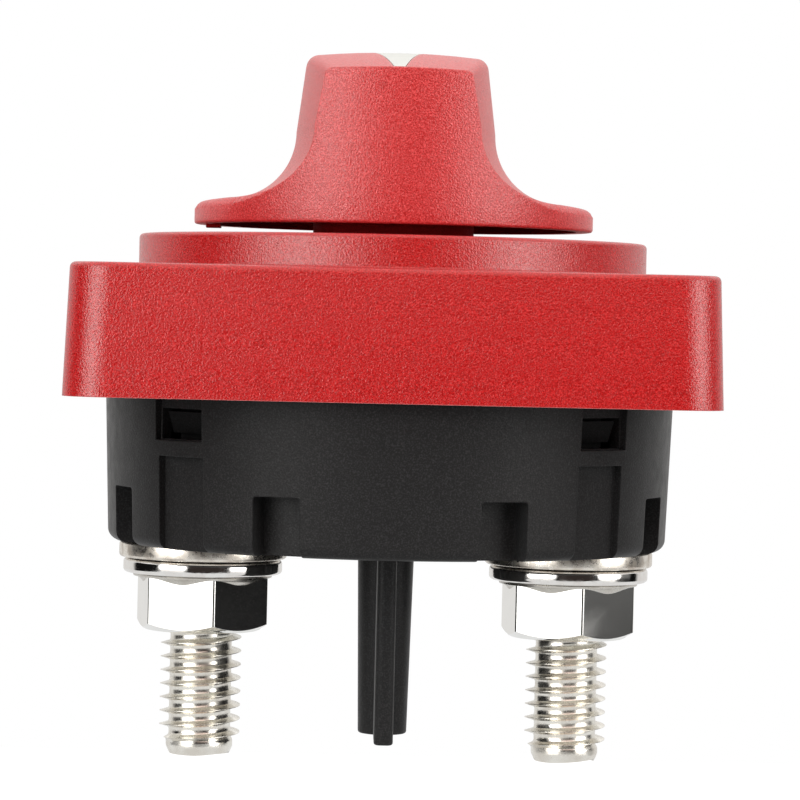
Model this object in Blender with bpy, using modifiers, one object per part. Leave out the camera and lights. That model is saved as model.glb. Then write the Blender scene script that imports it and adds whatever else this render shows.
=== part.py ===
# Boat battery switch: a rotary ON/OFF switch for panel mounting.
# The knob axis is Z. The origin is the centre of the cover's underside, where it
# rests on the panel. The studs stand along X, the divider between them along Y.
# Sizes are in metres.

import math

import bmesh
import bpy
from mathutils import Matrix, Vector

# Running and seating clearances
GAP = 0.0003
STACK_GAP = 0.00015
WINDOW_GAP = 0.0003

# Cover
COVER_HEIGHT = 0.0146
COVER_DRAFT = math.radians(2.2)
COVER_CORNER_RADIUS = 0.0050
COVER_EDGE_FILLET = 0.0006
COVER_WALL = 0.0026
COVER_TOP_THICKNESS = 0.0028
PLATFORM_MARGIN = 0.00635
PLATFORM_HEIGHT = 0.0038
PLATFORM_FILLET = 0.0005
MOUNTING_INSET = 0.0080
MOUNTING_HOLE_RADIUS = 0.0026
MOUNTING_COUNTERBORE_RADIUS = 0.0046
MOUNTING_COUNTERBORE_DEPTH = 0.0050
BEARING_WALL = 0.0035
BEARING_CLEARANCE = 0.0015

# Housing
HOUSING_DRAFT = math.radians(1.86)
HOUSING_DEPTH = 0.0172
HOUSING_WALL = 0.0024
HOUSING_FLOOR = 0.0026
HOUSING_BOTTOM_FILLET = 0.0013
COLLAR_STEP = 0.00015
COLLAR_GAP = 0.0004
COLLAR_HEIGHT = 0.0050
NOTCH_COUNT = 8
NOTCH_WIDTH = 0.0059
NOTCH_HEIGHT = 0.0066
NOTCH_DEPTH = 0.0033
NOTCH_BACKING = 0.0013
WINDOW_COUNT = 4
WINDOW_WIDTH = 0.0070
WINDOW_TOP = 0.0014
WINDOW_BOTTOM = 0.00495
WINDOW_STEP = 0.00015
WINDOW_SLIT = 0.0007
RECESS_DEPTH = 0.0009
PANEL_WIDTH = 0.0068
PANEL_TOP = 0.0067

# Divider between the studs
DIVIDER_LENGTH = 0.0300
DIVIDER_DROP = 0.0222
DIVIDER_ROOT_THICKNESS = 0.0034
DIVIDER_END_THICKNESS = 0.0022
DIVIDER_CORNER = 0.0008
DIVIDER_BOSS_ROOT_RADIUS = 0.00335
DIVIDER_BOSS_END_RADIUS = 0.00285

# Terminals
TERMINAL_SPACING = 0.0429
STUD_RADIUS = 0.00472
STUD_LENGTH = 0.0230
STUD_CHAMFER = 0.0013
STUD_TIP_RADIUS = 0.0039
PAD_RADIUS = 0.0098
PAD_THICKNESS = 0.0018
NECK_RADIUS = 0.0055
RIVET_RADIUS = 0.0042
RIVET_FLARE = 0.0010
CONTACT_RADIUS = 0.0080
CONTACT_CLEARANCE = 0.0013
CONTACT_THICKNESS = 0.0022
WASHER_RADIUS = 0.0093
WASHER_THICKNESS = 0.00165
WASHER_EDGE = 0.0004
NUT_ACROSS_FLATS = 0.0141
NUT_HEIGHT = 0.0065
NUT_TURN = math.radians(10.4)
NUT_COLLAR_RADIUS = 0.0076
NUT_COLLAR_HEIGHT = 0.0006
STUD_SEAL_THICKNESS = 0.0013
STUD_SEAL_OFFSET = 0.0020
STUD_SEAL_ROOM = 0.00035

# Knob
KNOB_LIFT = 0.0013
KNOB_RADIUS = 0.0233
KNOB_RIM = 0.00254
KNOB_TOP = 0.0203
KNOB_END_DROP = 0.0030
KNOB_TOP_CROWN = 0.00045
KNOB_HALF_WIDTH_TOP = 0.01065
KNOB_HALF_WIDTH_FOOT = 0.0116
KNOB_END_NARROWING = 0.0028
KNOB_TOP_NARROWING = 0.0028
KNOB_FLARE_RADIUS = 0.0080
KNOB_FLANGE_SLOPE = 0.085
KNOB_TOP_EDGE = 0.0013
KNOB_END_DRAFT = math.radians(1.2)
KNOB_EDGE_FILLET = 0.0004
KNOB_WALL = 0.0026
KNOB_TOP_WALL = 0.0053
KNOB_BOSS_RADIUS = 0.0078
KNOB_COLLAR_WALL = 0.0036
KNOB_SKIRT_WALL = 0.0018
KNOB_SKIRT_DEPTH = 0.0012
KNOB_RIB = 0.0018
KNOB_SOCKET_DEPTH = 0.0106
NUB_WIDTH = 0.0017
NUB_HEIGHT = 0.0004
NUB_INSET = 0.0014

# White pointer set in the knob's top
POINTER_INSET = 0.0007
POINTER_LENGTH = 0.0190
POINTER_TIP_WIDTH = 0.0012
POINTER_TAIL_WIDTH = 0.0064
POINTER_THICKNESS = 0.0009
POINTER_GAP = 0.0003

# Spindle, cam and knob screw
SHAFT_RADIUS = 0.0055
DRIVE_SIDE = 0.0080
DRIVE_CORNER = 0.0004
CAM_SIDE = 0.0120
CAM_CORNER = 0.0012
CAM_HEIGHT = 0.0040
SEAL_GROOVE_DEPTH = 0.0016
SPINDLE_SEAL_THICKNESS = 0.0015
DRIVE_WALL = 0.0007
SCREW_HEAD_HEIGHT = 0.0022
SCREW_SHANK_RADIUS = 0.0018
KNOB_SCREW_REACH = 0.0150

# Carrier, the inner frame that the housing snaps on
CARRIER_THICKNESS = 0.0022
LEG_THICKNESS = 0.0015
LEG_TAIL = 0.00125
ROTOR_NECK_RADIUS = 0.0074
POST_WIDTH = 0.0038
POST_DEPTH = 0.0032
POST_SPACING = 0.0262
POST_HEIGHT = 0.0044
DETENT_WIRE_RADIUS = 0.0006
DETENT_HOOK = 0.0034
STOP_HEIGHT = 0.0020
STOP_DEPTH = 0.0022
STOP_ARC = math.radians(8)
STOP_GAP_ANGLE = math.radians(1.3)
KNOB_TRAVEL = math.radians(90)

# Rotor and contact bridge
ROTOR_RADIUS = 0.0130
ROTOR_THICKNESS = 0.0022
SOCKET_WEB = 0.0010
HUB_RADIUS = 0.0036
PIVOT_RADIUS = 0.0022
PIVOT_LENGTH = 0.0014
FIN_LENGTH = 0.0080
FIN_THICKNESS = 0.0020
FIN_OVERLAP = 0.0017
BRIDGE_OVERHANG = 0.00505
BRIDGE_WIDTH = 0.0130
BRIDGE_THICKNESS = 0.0024
SPRING_CLEARANCE = 0.00085
SPRING_WIRE_RADIUS = 0.00055
SPRING_TURNS = 3.5
SPRING_POINTS_PER_TURN = 12
PIVOT_BOSS_WALL = 0.0024

# Cover screws
SCREW_BOSS_INSET = 0.00305
COVER_SCREW_RADIUS = 0.0015
COVER_SCREW_HEAD_RADIUS = 0.0029
COVER_SCREW_HEAD_HEIGHT = 0.0020
COVER_SCREW_LENGTH = 0.0100
SCREW_BOSS_RADIUS = 0.0035

GASKET_THICKNESS = 0.0007

# Places worked out from the sizes above
STUD_X = TERMINAL_SPACING / 2
HOUSING_INNER_RADIUS = STUD_X + CONTACT_RADIUS + CONTACT_CLEARANCE
HOUSING_RADIUS = HOUSING_INNER_RADIUS + HOUSING_WALL
HOUSING_BOTTOM_RADIUS = HOUSING_RADIUS - HOUSING_DEPTH * math.tan(HOUSING_DRAFT)
COLLAR_RADIUS = HOUSING_RADIUS - COLLAR_STEP
FLOOR_TOP = -HOUSING_DEPTH + HOUSING_FLOOR
COVER_INNER_HALF = COLLAR_RADIUS + COLLAR_GAP
COVER_SIDE = 2 * (COVER_INNER_HALF + COVER_WALL)
COVER_CEILING = COVER_HEIGHT - COVER_TOP_THICKNESS
PLATFORM_RADIUS = COVER_SIDE / 2 - PLATFORM_MARGIN
PLATFORM_TOP = COVER_HEIGHT + PLATFORM_HEIGHT
PLATFORM_CEILING = PLATFORM_TOP - COVER_TOP_THICKNESS
MOUNTING_SPACING = COVER_SIDE - 2 * MOUNTING_INSET
MOUNTING_COLUMN_RADIUS = MOUNTING_SPACING * math.sqrt(0.5) - COLLAR_RADIUS - COLLAR_GAP
COVER_SCREW_CIRCLE = PLATFORM_RADIUS - COVER_WALL - SCREW_BOSS_INSET
PAD_TOP = -HOUSING_DEPTH - GAP
PAD_BOTTOM = PAD_TOP - PAD_THICKNESS
STUD_END = PAD_BOTTOM - STUD_LENGTH
STUD_SEAL_RADIUS = NECK_RADIUS + STUD_SEAL_OFFSET
CONTACT_TOP = FLOOR_TOP + GAP + CONTACT_THICKNESS
BRIDGE_LENGTH = TERMINAL_SPACING + 2 * BRIDGE_OVERHANG
BRIDGE_BOTTOM = CONTACT_TOP + GAP
BRIDGE_TOP = BRIDGE_BOTTOM + BRIDGE_THICKNESS
SPRING_RADIUS = HUB_RADIUS + SPRING_WIRE_RADIUS + SPRING_CLEARANCE
ROTOR_TOP = -GAP
ROTOR_BOTTOM = ROTOR_TOP - ROTOR_THICKNESS
NOSE_HEIGHT = WINDOW_BOTTOM - WINDOW_STEP - WINDOW_TOP - WINDOW_GAP - WINDOW_SLIT
LEG_DROP = WINDOW_BOTTOM + LEG_TAIL
CAM_BOTTOM = CARRIER_THICKNESS + GAP
CAM_TOP = CAM_BOTTOM + CAM_HEIGHT
BEARING_BOTTOM = CAM_TOP + BEARING_CLEARANCE
SOCKET_HALF = DRIVE_SIDE / 2 + GAP
SOCKET_FLOOR = ROTOR_BOTTOM + SOCKET_WEB
SCREW_HEAD_RADIUS = DRIVE_SIDE / 2 - DRIVE_WALL - GAP
SEAL_GROOVE_RADIUS = SHAFT_RADIUS - SEAL_GROOVE_DEPTH
SEAL_Z = (PLATFORM_CEILING + PLATFORM_TOP) / 2
KNOB_BOTTOM = PLATFORM_TOP + KNOB_LIFT
KNOB_CREST = KNOB_BOTTOM + KNOB_TOP
KNOB_FLARE_X = KNOB_HALF_WIDTH_FOOT + KNOB_FLARE_RADIUS
KNOB_FLARE_FOOT = KNOB_RIM + (KNOB_RADIUS - KNOB_FLARE_X) * KNOB_FLANGE_SLOPE
POINTER_TIP = KNOB_RADIUS - POINTER_INSET
POINTER_DEPTH = KNOB_END_DROP + POINTER_THICKNESS
SPINDLE_TOP = KNOB_BOTTOM + KNOB_SOCKET_DEPTH - GAP
GASKET_BOTTOM = COLLAR_HEIGHT + GAP
GASKET_TOP = GASKET_BOTTOM + GASKET_THICKNESS

FINE = 48
MEDIUM = 24
SMALL = 16


def clear_scene():
    for item in list(bpy.data.objects):
        bpy.data.objects.remove(item, do_unlink=True)


def new_collection(name):
    group = bpy.data.collections.new(name)
    bpy.context.scene.collection.children.link(group)
    return group


def new_material(name, colour, roughness, metallic=0.0):
    finish = bpy.data.materials.new(name)
    finish.use_nodes = True
    shader = finish.node_tree.nodes["Principled BSDF"]
    shader.inputs["Base Color"].default_value = (*colour, 1.0)
    shader.inputs["Roughness"].default_value = roughness
    shader.inputs["Metallic"].default_value = metallic
    return finish


def link_part(name, data, finish, parent=None, location=(0, 0, 0)):
    part = bpy.data.objects.new(name, data)
    part.location = location
    part.parent = parent
    data.materials.append(finish)
    parts.objects.link(part)
    return part


def link_tool(name, data, location=(0, 0, 0)):
    """A shape that cuts or joins another one, and is not a piece of the switch."""
    tool = bpy.data.objects.new(name, data)
    tool.location = location
    tool.hide_render = True
    tool.display_type = "WIRE"
    tools.objects.link(tool)
    return tool


def mesh_from(bm, name):
    data = bpy.data.meshes.new(name)
    bm.to_mesh(data)
    bm.free()
    return data


def combine(part, tool, operation):
    step = part.modifiers.new(tool.name, "BOOLEAN")
    step.operation = operation
    step.solver = "EXACT"
    step.object = tool


def cut(part, tool):
    combine(part, tool, "DIFFERENCE")


def join(part, tool):
    combine(part, tool, "UNION")


def smooth(part, angle=35):
    part.data.shade_smooth()
    part.data.set_sharp_from_angle(angle=math.radians(angle))


def profile_mesh(name, points, closed):
    """A turned shape's half outline at +X: it runs down the outer side."""
    bm = bmesh.new()
    corners = [bm.verts.new((radius, 0, z)) for radius, z in points]
    for first, second in zip(corners, corners[1:]):
        bm.edges.new((first, second))
    if closed:
        bm.edges.new((corners[-1], corners[0]))
    return mesh_from(bm, name)


def add_screw(part, segments):
    turn = part.modifiers.new("turn", "SCREW")
    turn.steps = segments
    turn.render_steps = segments
    turn.use_merge_vertices = True
    turn.merge_threshold = 0.00001
    turn.use_smooth_shade = False


def add_flat_caps(part):
    """Makes each flat end of a turned solid one face instead of a fan."""
    flat = part.modifiers.new("flat caps", "DECIMATE")
    flat.decimate_type = "DISSOLVE"
    flat.angle_limit = math.radians(0.05)


def turned(name, points, segments, finish, closed=False, parent=None, location=(0, 0, 0)):
    part = link_part(name, profile_mesh(name, points, closed), finish, parent, location)
    add_screw(part, segments)
    if not closed:
        add_flat_caps(part)
    return part


def turned_tool(name, points, segments, closed=False, location=(0, 0, 0)):
    tool = link_tool(name, profile_mesh(name, points, closed), location)
    add_screw(tool, segments)
    if not closed:
        add_flat_caps(tool)
    return tool


def ring_points(inner, outer, bottom, top, chamfer=0.0):
    """A ring's closed section, with its outer edges chamfered."""
    if chamfer == 0.0:
        return [(inner, top), (outer, top), (outer, bottom), (inner, bottom)]
    return [(inner, top), (outer - chamfer, top), (outer, top - chamfer),
            (outer, bottom + chamfer), (outer - chamfer, bottom), (inner, bottom)]


def circle_points(centre_radius, centre_z, radius, count):
    """A round section, clockwise seen with +X to the right, so that it faces out."""
    steps = [2 * math.pi * k / count for k in range(count)]
    return [(centre_radius + radius * math.cos(a), centre_z - radius * math.sin(a))
            for a in steps]


def arc_points(centre, radius, start, end, count):
    steps = [start + (end - start) * k / count for k in range(count + 1)]
    return [(centre[0] + radius * math.cos(a), centre[1] + radius * math.sin(a)) for a in steps]


def add_box(bm, low, high, turn=0.0):
    """A box between two corners, turned about Z afterwards."""
    low, high = Vector(low), Vector(high)
    place = Matrix.Translation((low + high) / 2)
    size = Matrix.Diagonal((*(high - low), 1.0))
    matrix = Matrix.Rotation(turn, 4, "Z") @ place @ size
    return bmesh.ops.create_cube(bm, size=1.0, matrix=matrix)["verts"]


def add_cylinder(bm, x, y, radius, bottom, top, segments, end_radius=None):
    place = Matrix.Translation((x, y, (bottom + top) / 2))
    end_radius = radius if end_radius is None else end_radius
    return bmesh.ops.create_cone(bm, cap_ends=True, segments=segments, radius1=radius,
                                 radius2=end_radius, depth=top - bottom, matrix=place)["verts"]


def upright_edges(verts):
    edges = {edge for vert in verts for edge in vert.link_edges}
    rise = [(edge, (edge.verts[0].co - edge.verts[1].co).normalized()) for edge in edges]
    return [edge for edge, direction in rise if abs(direction.z) > 0.9]


def round_edges(bm, edges, radius, segments):
    return bmesh.ops.bevel(bm, geom=list(edges), offset=radius, offset_type="OFFSET",
                           segments=segments, profile=0.5, affect="EDGES")


def corner_places(spacing):
    half = spacing / 2
    return [(half * sx, half * sy) for sx, sy in ((1, 1), (-1, 1), (-1, -1), (1, -1))]


def polar_places(radius, count, start):
    angles = [start + 2 * math.pi * k / count for k in range(count)]
    return [(radius * math.cos(a), radius * math.sin(a)) for a in angles]


def cover_block():
    """The drafted square block of the cover, with round corners and top edge."""
    bm = bmesh.new()
    half = COVER_SIDE / 2
    verts = add_box(bm, (-half, -half, 0), (half, half, COVER_HEIGHT))
    top_half = half - COVER_HEIGHT * math.tan(COVER_DRAFT)
    for vert in verts:
        if vert.co.z > COVER_HEIGHT / 2:
            vert.co.x *= top_half / half
            vert.co.y *= top_half / half
    round_edges(bm, upright_edges(verts), COVER_CORNER_RADIUS, 7)
    rim = [edge for edge in bm.edges if all(v.co.z > COVER_HEIGHT - 1e-6 for v in edge.verts)]
    round_edges(bm, rim, COVER_EDGE_FILLET, 2)
    return mesh_from(bm, "top_cover")


def cover_cavity():
    """The hollow of the cover. Columns and bosses are left standing in it."""
    bm = bmesh.new()
    half = COVER_INNER_HALF
    verts = add_box(bm, (-half, -half, -GAP * 4), (half, half, COVER_CEILING))
    round_edges(bm, upright_edges(verts), COVER_CORNER_RADIUS - COVER_WALL, 4)
    cavity = link_tool("cover_cavity", mesh_from(bm, "cover_cavity"))
    round_room = turned_tool("platform_cavity", [
        (0, PLATFORM_CEILING), (PLATFORM_RADIUS - COVER_WALL, PLATFORM_CEILING),
        (PLATFORM_RADIUS - COVER_WALL, COVER_CEILING / 2), (0, COVER_CEILING / 2)], FINE)
    join(cavity, round_room)

    bm = bmesh.new()
    for x, y in corner_places(MOUNTING_SPACING):
        add_cylinder(bm, x, y, MOUNTING_COLUMN_RADIUS, -HOUSING_FLOOR, PLATFORM_TOP, MEDIUM)
    for x, y in polar_places(COVER_SCREW_CIRCLE, 4, math.radians(45)):
        add_cylinder(bm, x, y, SCREW_BOSS_RADIUS, CARRIER_THICKNESS + GAP, PLATFORM_TOP, SMALL)
    add_cylinder(bm, 0, 0, SHAFT_RADIUS + BEARING_WALL, BEARING_BOTTOM, PLATFORM_TOP, MEDIUM)
    cut(cavity, link_tool("cover_columns", mesh_from(bm, "cover_columns")))

    gasket_land = turned_tool("gasket_land", ring_points(
        HOUSING_INNER_RADIUS - GAP, COVER_INNER_HALF + COVER_WALL / 3,
        GASKET_TOP + GAP, PLATFORM_TOP), FINE, closed=True)
    cut(cavity, gasket_land)
    return cavity


def build_cover(red):
    cover = link_part("top_cover", cover_block(), red)
    platform = turned_tool("platform", [
        (0, PLATFORM_TOP), (PLATFORM_RADIUS - PLATFORM_FILLET, PLATFORM_TOP),
        (PLATFORM_RADIUS - PLATFORM_FILLET * 0.29, PLATFORM_TOP - PLATFORM_FILLET * 0.29),
        (PLATFORM_RADIUS, PLATFORM_TOP - PLATFORM_FILLET),
        (PLATFORM_RADIUS, COVER_CEILING), (0, COVER_CEILING)], FINE)
    join(cover, platform)
    cut(cover, cover_cavity())

    bm = bmesh.new()
    for x, y in corner_places(MOUNTING_SPACING):
        seat = COVER_HEIGHT - MOUNTING_COUNTERBORE_DEPTH
        add_cylinder(bm, x, y, MOUNTING_HOLE_RADIUS, -COVER_WALL, seat + GAP, SMALL)
        add_cylinder(bm, x, y, MOUNTING_COUNTERBORE_RADIUS, seat, PLATFORM_TOP, SMALL)
    bore = link_tool("mounting_holes", mesh_from(bm, "mounting_holes"))
    cut(cover, bore)

    bm = bmesh.new()
    pilot_top = COVER_SCREW_LENGTH + GAP
    for x, y in polar_places(COVER_SCREW_CIRCLE, 4, math.radians(45)):
        add_cylinder(bm, x, y, COVER_SCREW_RADIUS + GAP, 0, pilot_top, 12)
    add_cylinder(bm, 0, 0, SHAFT_RADIUS + GAP, 0, PLATFORM_TOP + KNOB_LIFT, MEDIUM)
    cut(cover, link_tool("cover_bores", mesh_from(bm, "cover_bores")))
    smooth(cover)
    return cover


def housing_cavity():
    """The hollow of the housing, with its bosses and rest pads left standing."""
    cavity = turned_tool("housing_cavity", [
        (0, COLLAR_HEIGHT + GAP * 4), (HOUSING_INNER_RADIUS, COLLAR_HEIGHT + GAP * 4),
        (HOUSING_INNER_RADIUS, FLOOR_TOP), (0, FLOOR_TOP)], FINE)
    bm = bmesh.new()
    backing_face = HOUSING_BOTTOM_RADIUS - NOTCH_DEPTH - NOTCH_BACKING
    backing_top = -HOUSING_DEPTH + NOTCH_HEIGHT + NOTCH_BACKING
    half = NOTCH_WIDTH / 2 + NOTCH_BACKING
    for k in range(NOTCH_COUNT):
        angle = (k + 0.5) * 2 * math.pi / NOTCH_COUNT
        add_box(bm, (backing_face, -half, -HOUSING_DEPTH), (HOUSING_RADIUS, half, backing_top), angle)
    pad_half = BRIDGE_WIDTH / 2 - GAP * 4
    for side in (1, -1):
        low = (-pad_half, side * STUD_X - CONTACT_RADIUS / 2, -HOUSING_DEPTH)
        high = (pad_half, side * STUD_X + CONTACT_RADIUS / 2, CONTACT_TOP)
        add_box(bm, low, high)
    cut(cavity, link_tool("housing_bosses", mesh_from(bm, "housing_bosses")))
    pivot_socket = PIVOT_RADIUS + GAP
    boss = turned_tool("pivot_boss", ring_points(
        pivot_socket, pivot_socket + PIVOT_BOSS_WALL, -HOUSING_DEPTH, FLOOR_TOP + PIVOT_LENGTH),
        SMALL, closed=True)
    cut(cavity, boss)
    return cavity


def housing_cuts():
    """Rim notches, snap windows and the flat panels under them."""
    bm = bmesh.new()
    reach = HOUSING_RADIUS * 1.1
    notch_floor = HOUSING_BOTTOM_RADIUS - NOTCH_DEPTH
    notch_top = -HOUSING_DEPTH + NOTCH_HEIGHT
    for k in range(NOTCH_COUNT):
        angle = (k + 0.5) * 2 * math.pi / NOTCH_COUNT
        low = (notch_floor, -NOTCH_WIDTH / 2, -HOUSING_DEPTH * 1.2)
        add_box(bm, low, (reach, NOTCH_WIDTH / 2, notch_top), angle)
    for k in range(WINDOW_COUNT):
        angle = (k + 0.5) * 2 * math.pi / WINDOW_COUNT
        half = PANEL_WIDTH / 2
        low = (HOUSING_BOTTOM_RADIUS - RECESS_DEPTH, -half, -HOUSING_DEPTH * 1.2)
        verts = add_box(bm, low, (reach, half, -PANEL_TOP), angle)
        slope = (HOUSING_DEPTH - PANEL_TOP) * math.tan(HOUSING_DRAFT)
        for vert in verts:
            if vert.co.z > -HOUSING_DEPTH:
                vert.co += Vector((math.cos(angle), math.sin(angle), 0)) * slope
        half = WINDOW_WIDTH / 2
        low = (HOUSING_RADIUS - RECESS_DEPTH, -half, -WINDOW_BOTTOM)
        add_box(bm, low, (reach, half, COLLAR_HEIGHT * 2), angle)
    return link_tool("housing_cuts", mesh_from(bm, "housing_cuts"))


def window_holes():
    bm = bmesh.new()
    for k in range(WINDOW_COUNT):
        angle = (k + 0.5) * 2 * math.pi / WINDOW_COUNT
        half = WINDOW_WIDTH / 2 - WINDOW_STEP
        low = (HOUSING_INNER_RADIUS * 0.95, -half, -WINDOW_BOTTOM + WINDOW_STEP)
        add_box(bm, low, (HOUSING_RADIUS * 1.1, half, -WINDOW_TOP), angle)
    return link_tool("window_holes", mesh_from(bm, "window_holes"))


def divider():
    """The fin that keeps the cable lugs apart, with a round boss in its middle."""
    bm = bmesh.new()
    root = -HOUSING_DEPTH + HOUSING_FLOOR / 2
    end = -HOUSING_DEPTH - DIVIDER_DROP
    half_length = DIVIDER_LENGTH / 2
    verts = add_box(bm, (-DIVIDER_ROOT_THICKNESS / 2, -half_length, end),
                    (DIVIDER_ROOT_THICKNESS / 2, half_length, root))
    for vert in verts:
        if vert.co.z < root:
            vert.co.x *= DIVIDER_END_THICKNESS / DIVIDER_ROOT_THICKNESS
            vert.co.y *= 1 - DIVIDER_CORNER / half_length
    round_edges(bm, upright_edges(verts), DIVIDER_CORNER, 2)
    plate = link_tool("divider_plate", mesh_from(bm, "divider_plate"))
    bm = bmesh.new()
    add_cylinder(bm, 0, 0, DIVIDER_BOSS_END_RADIUS, end - GAP / 3, root + GAP / 3, SMALL,
                 end_radius=DIVIDER_BOSS_ROOT_RADIUS)
    join(plate, link_tool("divider_boss", mesh_from(bm, "divider_boss")))
    return plate


def build_housing(black):
    fillet = HOUSING_BOTTOM_FILLET
    corner = arc_points((HOUSING_BOTTOM_RADIUS - fillet, -HOUSING_DEPTH + fillet), fillet,
                        0, -math.pi / 2, 4)
    housing = turned("rear_housing", [
        (0, COLLAR_HEIGHT), (COLLAR_RADIUS, COLLAR_HEIGHT), (COLLAR_RADIUS, GAP),
        (HOUSING_RADIUS, 0), *corner, (0, -HOUSING_DEPTH)], FINE, black)
    cut(housing, housing_cavity())
    cut(housing, housing_cuts())
    cut(housing, window_holes())
    bm = bmesh.new()
    for x in (STUD_X, -STUD_X):
        add_cylinder(bm, x, 0, NECK_RADIUS + GAP, -HOUSING_DEPTH * 1.1, 0, MEDIUM)
    cut(housing, link_tool("neck_holes", mesh_from(bm, "neck_holes")))
    for side, x in (("right", STUD_X), ("left", -STUD_X)):
        groove = STUD_SEAL_THICKNESS / 2 + STUD_SEAL_ROOM
        cut(housing, turned_tool("seal_groove_" + side, ring_points(
            STUD_SEAL_RADIUS - groove, STUD_SEAL_RADIUS + groove,
            -HOUSING_DEPTH - GAP, PAD_TOP + GAP + STUD_SEAL_THICKNESS + GAP), MEDIUM,
            closed=True, location=(x, 0, 0)))
    join(housing, divider())
    smooth(housing)
    return housing


def build_carrier(black):
    """The inner frame: a plate with four snap legs, spring posts and turn stops."""
    outer = HOUSING_INNER_RADIUS - GAP
    carrier = turned("contact_carrier", ring_points(
        ROTOR_NECK_RADIUS + GAP, outer, 0, CARRIER_THICKNESS), FINE, black, closed=True)
    leg_half = WINDOW_WIDTH / 2 - WINDOW_STEP - WINDOW_GAP
    leg_outer = outer * math.cos(leg_half / outer) - GAP / 3
    nose_top = -WINDOW_TOP - WINDOW_GAP
    bm = bmesh.new()
    noses = bmesh.new()
    for k in range(WINDOW_COUNT):
        angle = (k + 0.5) * 2 * math.pi / WINDOW_COUNT
        outward = Vector((math.cos(angle), math.sin(angle), 0))
        add_box(bm, (leg_outer - LEG_THICKNESS, -leg_half, -LEG_DROP),
                (leg_outer, leg_half, CARRIER_THICKNESS / 2), angle)
        verts = add_box(noses, (leg_outer - LEG_THICKNESS / 2, -leg_half + GAP / 3, nose_top - NOSE_HEIGHT),
                        (HOUSING_RADIUS - RECESS_DEPTH, leg_half - GAP / 3, nose_top), angle)
        for vert in verts:
            if vert.co.z < nose_top - NOSE_HEIGHT / 2 and vert.co.dot(outward) > leg_outer:
                vert.co -= outward * RECESS_DEPTH
    join(carrier, link_tool("carrier_legs", mesh_from(bm, "carrier_legs")))
    join(carrier, link_tool("carrier_noses", mesh_from(noses, "carrier_noses")))
    bm = bmesh.new()
    for x, y in spring_posts():
        add_box(bm, (x - POST_WIDTH / 2, min(y, y + math.copysign(POST_DEPTH, y)), CARRIER_THICKNESS / 2),
                (x + POST_WIDTH / 2, max(y, y + math.copysign(POST_DEPTH, y)), CARRIER_THICKNESS + POST_HEIGHT))
    posts = link_tool("carrier_posts", mesh_from(bm, "carrier_posts"))
    join(carrier, posts)
    join(carrier, turn_stops())
    bm = bmesh.new()
    for x, y in polar_places(COVER_SCREW_CIRCLE, 4, math.radians(45)):
        add_cylinder(bm, x, y, COVER_SCREW_RADIUS + GAP, -CARRIER_THICKNESS, CARRIER_THICKNESS * 2, 12)
    cut(carrier, link_tool("carrier_holes", mesh_from(bm, "carrier_holes")))
    smooth(carrier)
    return carrier


def spring_posts():
    """Inner corners of the four posts that the detent wires bear on."""
    y = CAM_SIDE / 2 + GAP + 2 * DETENT_WIRE_RADIUS + GAP
    return [(sx * POST_SPACING / 2, sy * y) for sx in (1, -1) for sy in (1, -1)]


def turn_stops():
    """Blocks under the carrier plate that end the rotor's quarter turn."""
    bm = bmesh.new()
    inner = ROTOR_RADIUS + GAP
    half = inner * math.tan(STOP_ARC / 2)
    reach = STOP_ARC + STOP_GAP_ANGLE
    for angle in (math.radians(45) + reach, math.radians(45) - KNOB_TRAVEL - reach):
        add_box(bm, (inner, -half, -STOP_HEIGHT), (inner + STOP_DEPTH, half, CARRIER_THICKNESS / 2), angle)
    return link_tool("turn_stops", mesh_from(bm, "turn_stops"))


def build_rotor(grey, axis):
    """The moulded rotor: disc, neck with the drive socket, hub, pivot and two fins."""
    hub_bottom = FLOOR_TOP + PIVOT_LENGTH + GAP
    rotor = turned("rotor", [
        (0, CARRIER_THICKNESS), (ROTOR_NECK_RADIUS, CARRIER_THICKNESS), (ROTOR_NECK_RADIUS, ROTOR_TOP),
        (ROTOR_RADIUS, ROTOR_TOP), (ROTOR_RADIUS, ROTOR_BOTTOM), (HUB_RADIUS, ROTOR_BOTTOM),
        (HUB_RADIUS, hub_bottom), (PIVOT_RADIUS, hub_bottom), (PIVOT_RADIUS, FLOOR_TOP + GAP),
        (0, FLOOR_TOP + GAP)], MEDIUM, grey, parent=axis)
    bm = bmesh.new()
    fin_inner = BRIDGE_WIDTH / 2 + GAP
    for side in (1, -1):
        low = (min(side * fin_inner, side * (fin_inner + FIN_THICKNESS)), -FIN_LENGTH / 2,
               BRIDGE_TOP - FIN_OVERLAP)
        high = (max(side * fin_inner, side * (fin_inner + FIN_THICKNESS)), FIN_LENGTH / 2,
                ROTOR_BOTTOM + ROTOR_THICKNESS / 2)
        add_box(bm, low, high)
    lug_half = ROTOR_RADIUS * math.tan(STOP_ARC / 2)
    add_box(bm, (ROTOR_RADIUS * 0.9, -lug_half, ROTOR_BOTTOM + GAP),
            (ROTOR_RADIUS + GAP + STOP_DEPTH, lug_half, ROTOR_TOP - GAP), math.radians(45))
    join(rotor, link_tool("rotor_fins", mesh_from(bm, "rotor_fins")))
    bm = bmesh.new()
    add_box(bm, (-SOCKET_HALF, -SOCKET_HALF, SOCKET_FLOOR),
            (SOCKET_HALF, SOCKET_HALF, CARRIER_THICKNESS * 2))
    cut(rotor, link_tool("rotor_socket", mesh_from(bm, "rotor_socket")))
    smooth(rotor)
    return rotor


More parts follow.
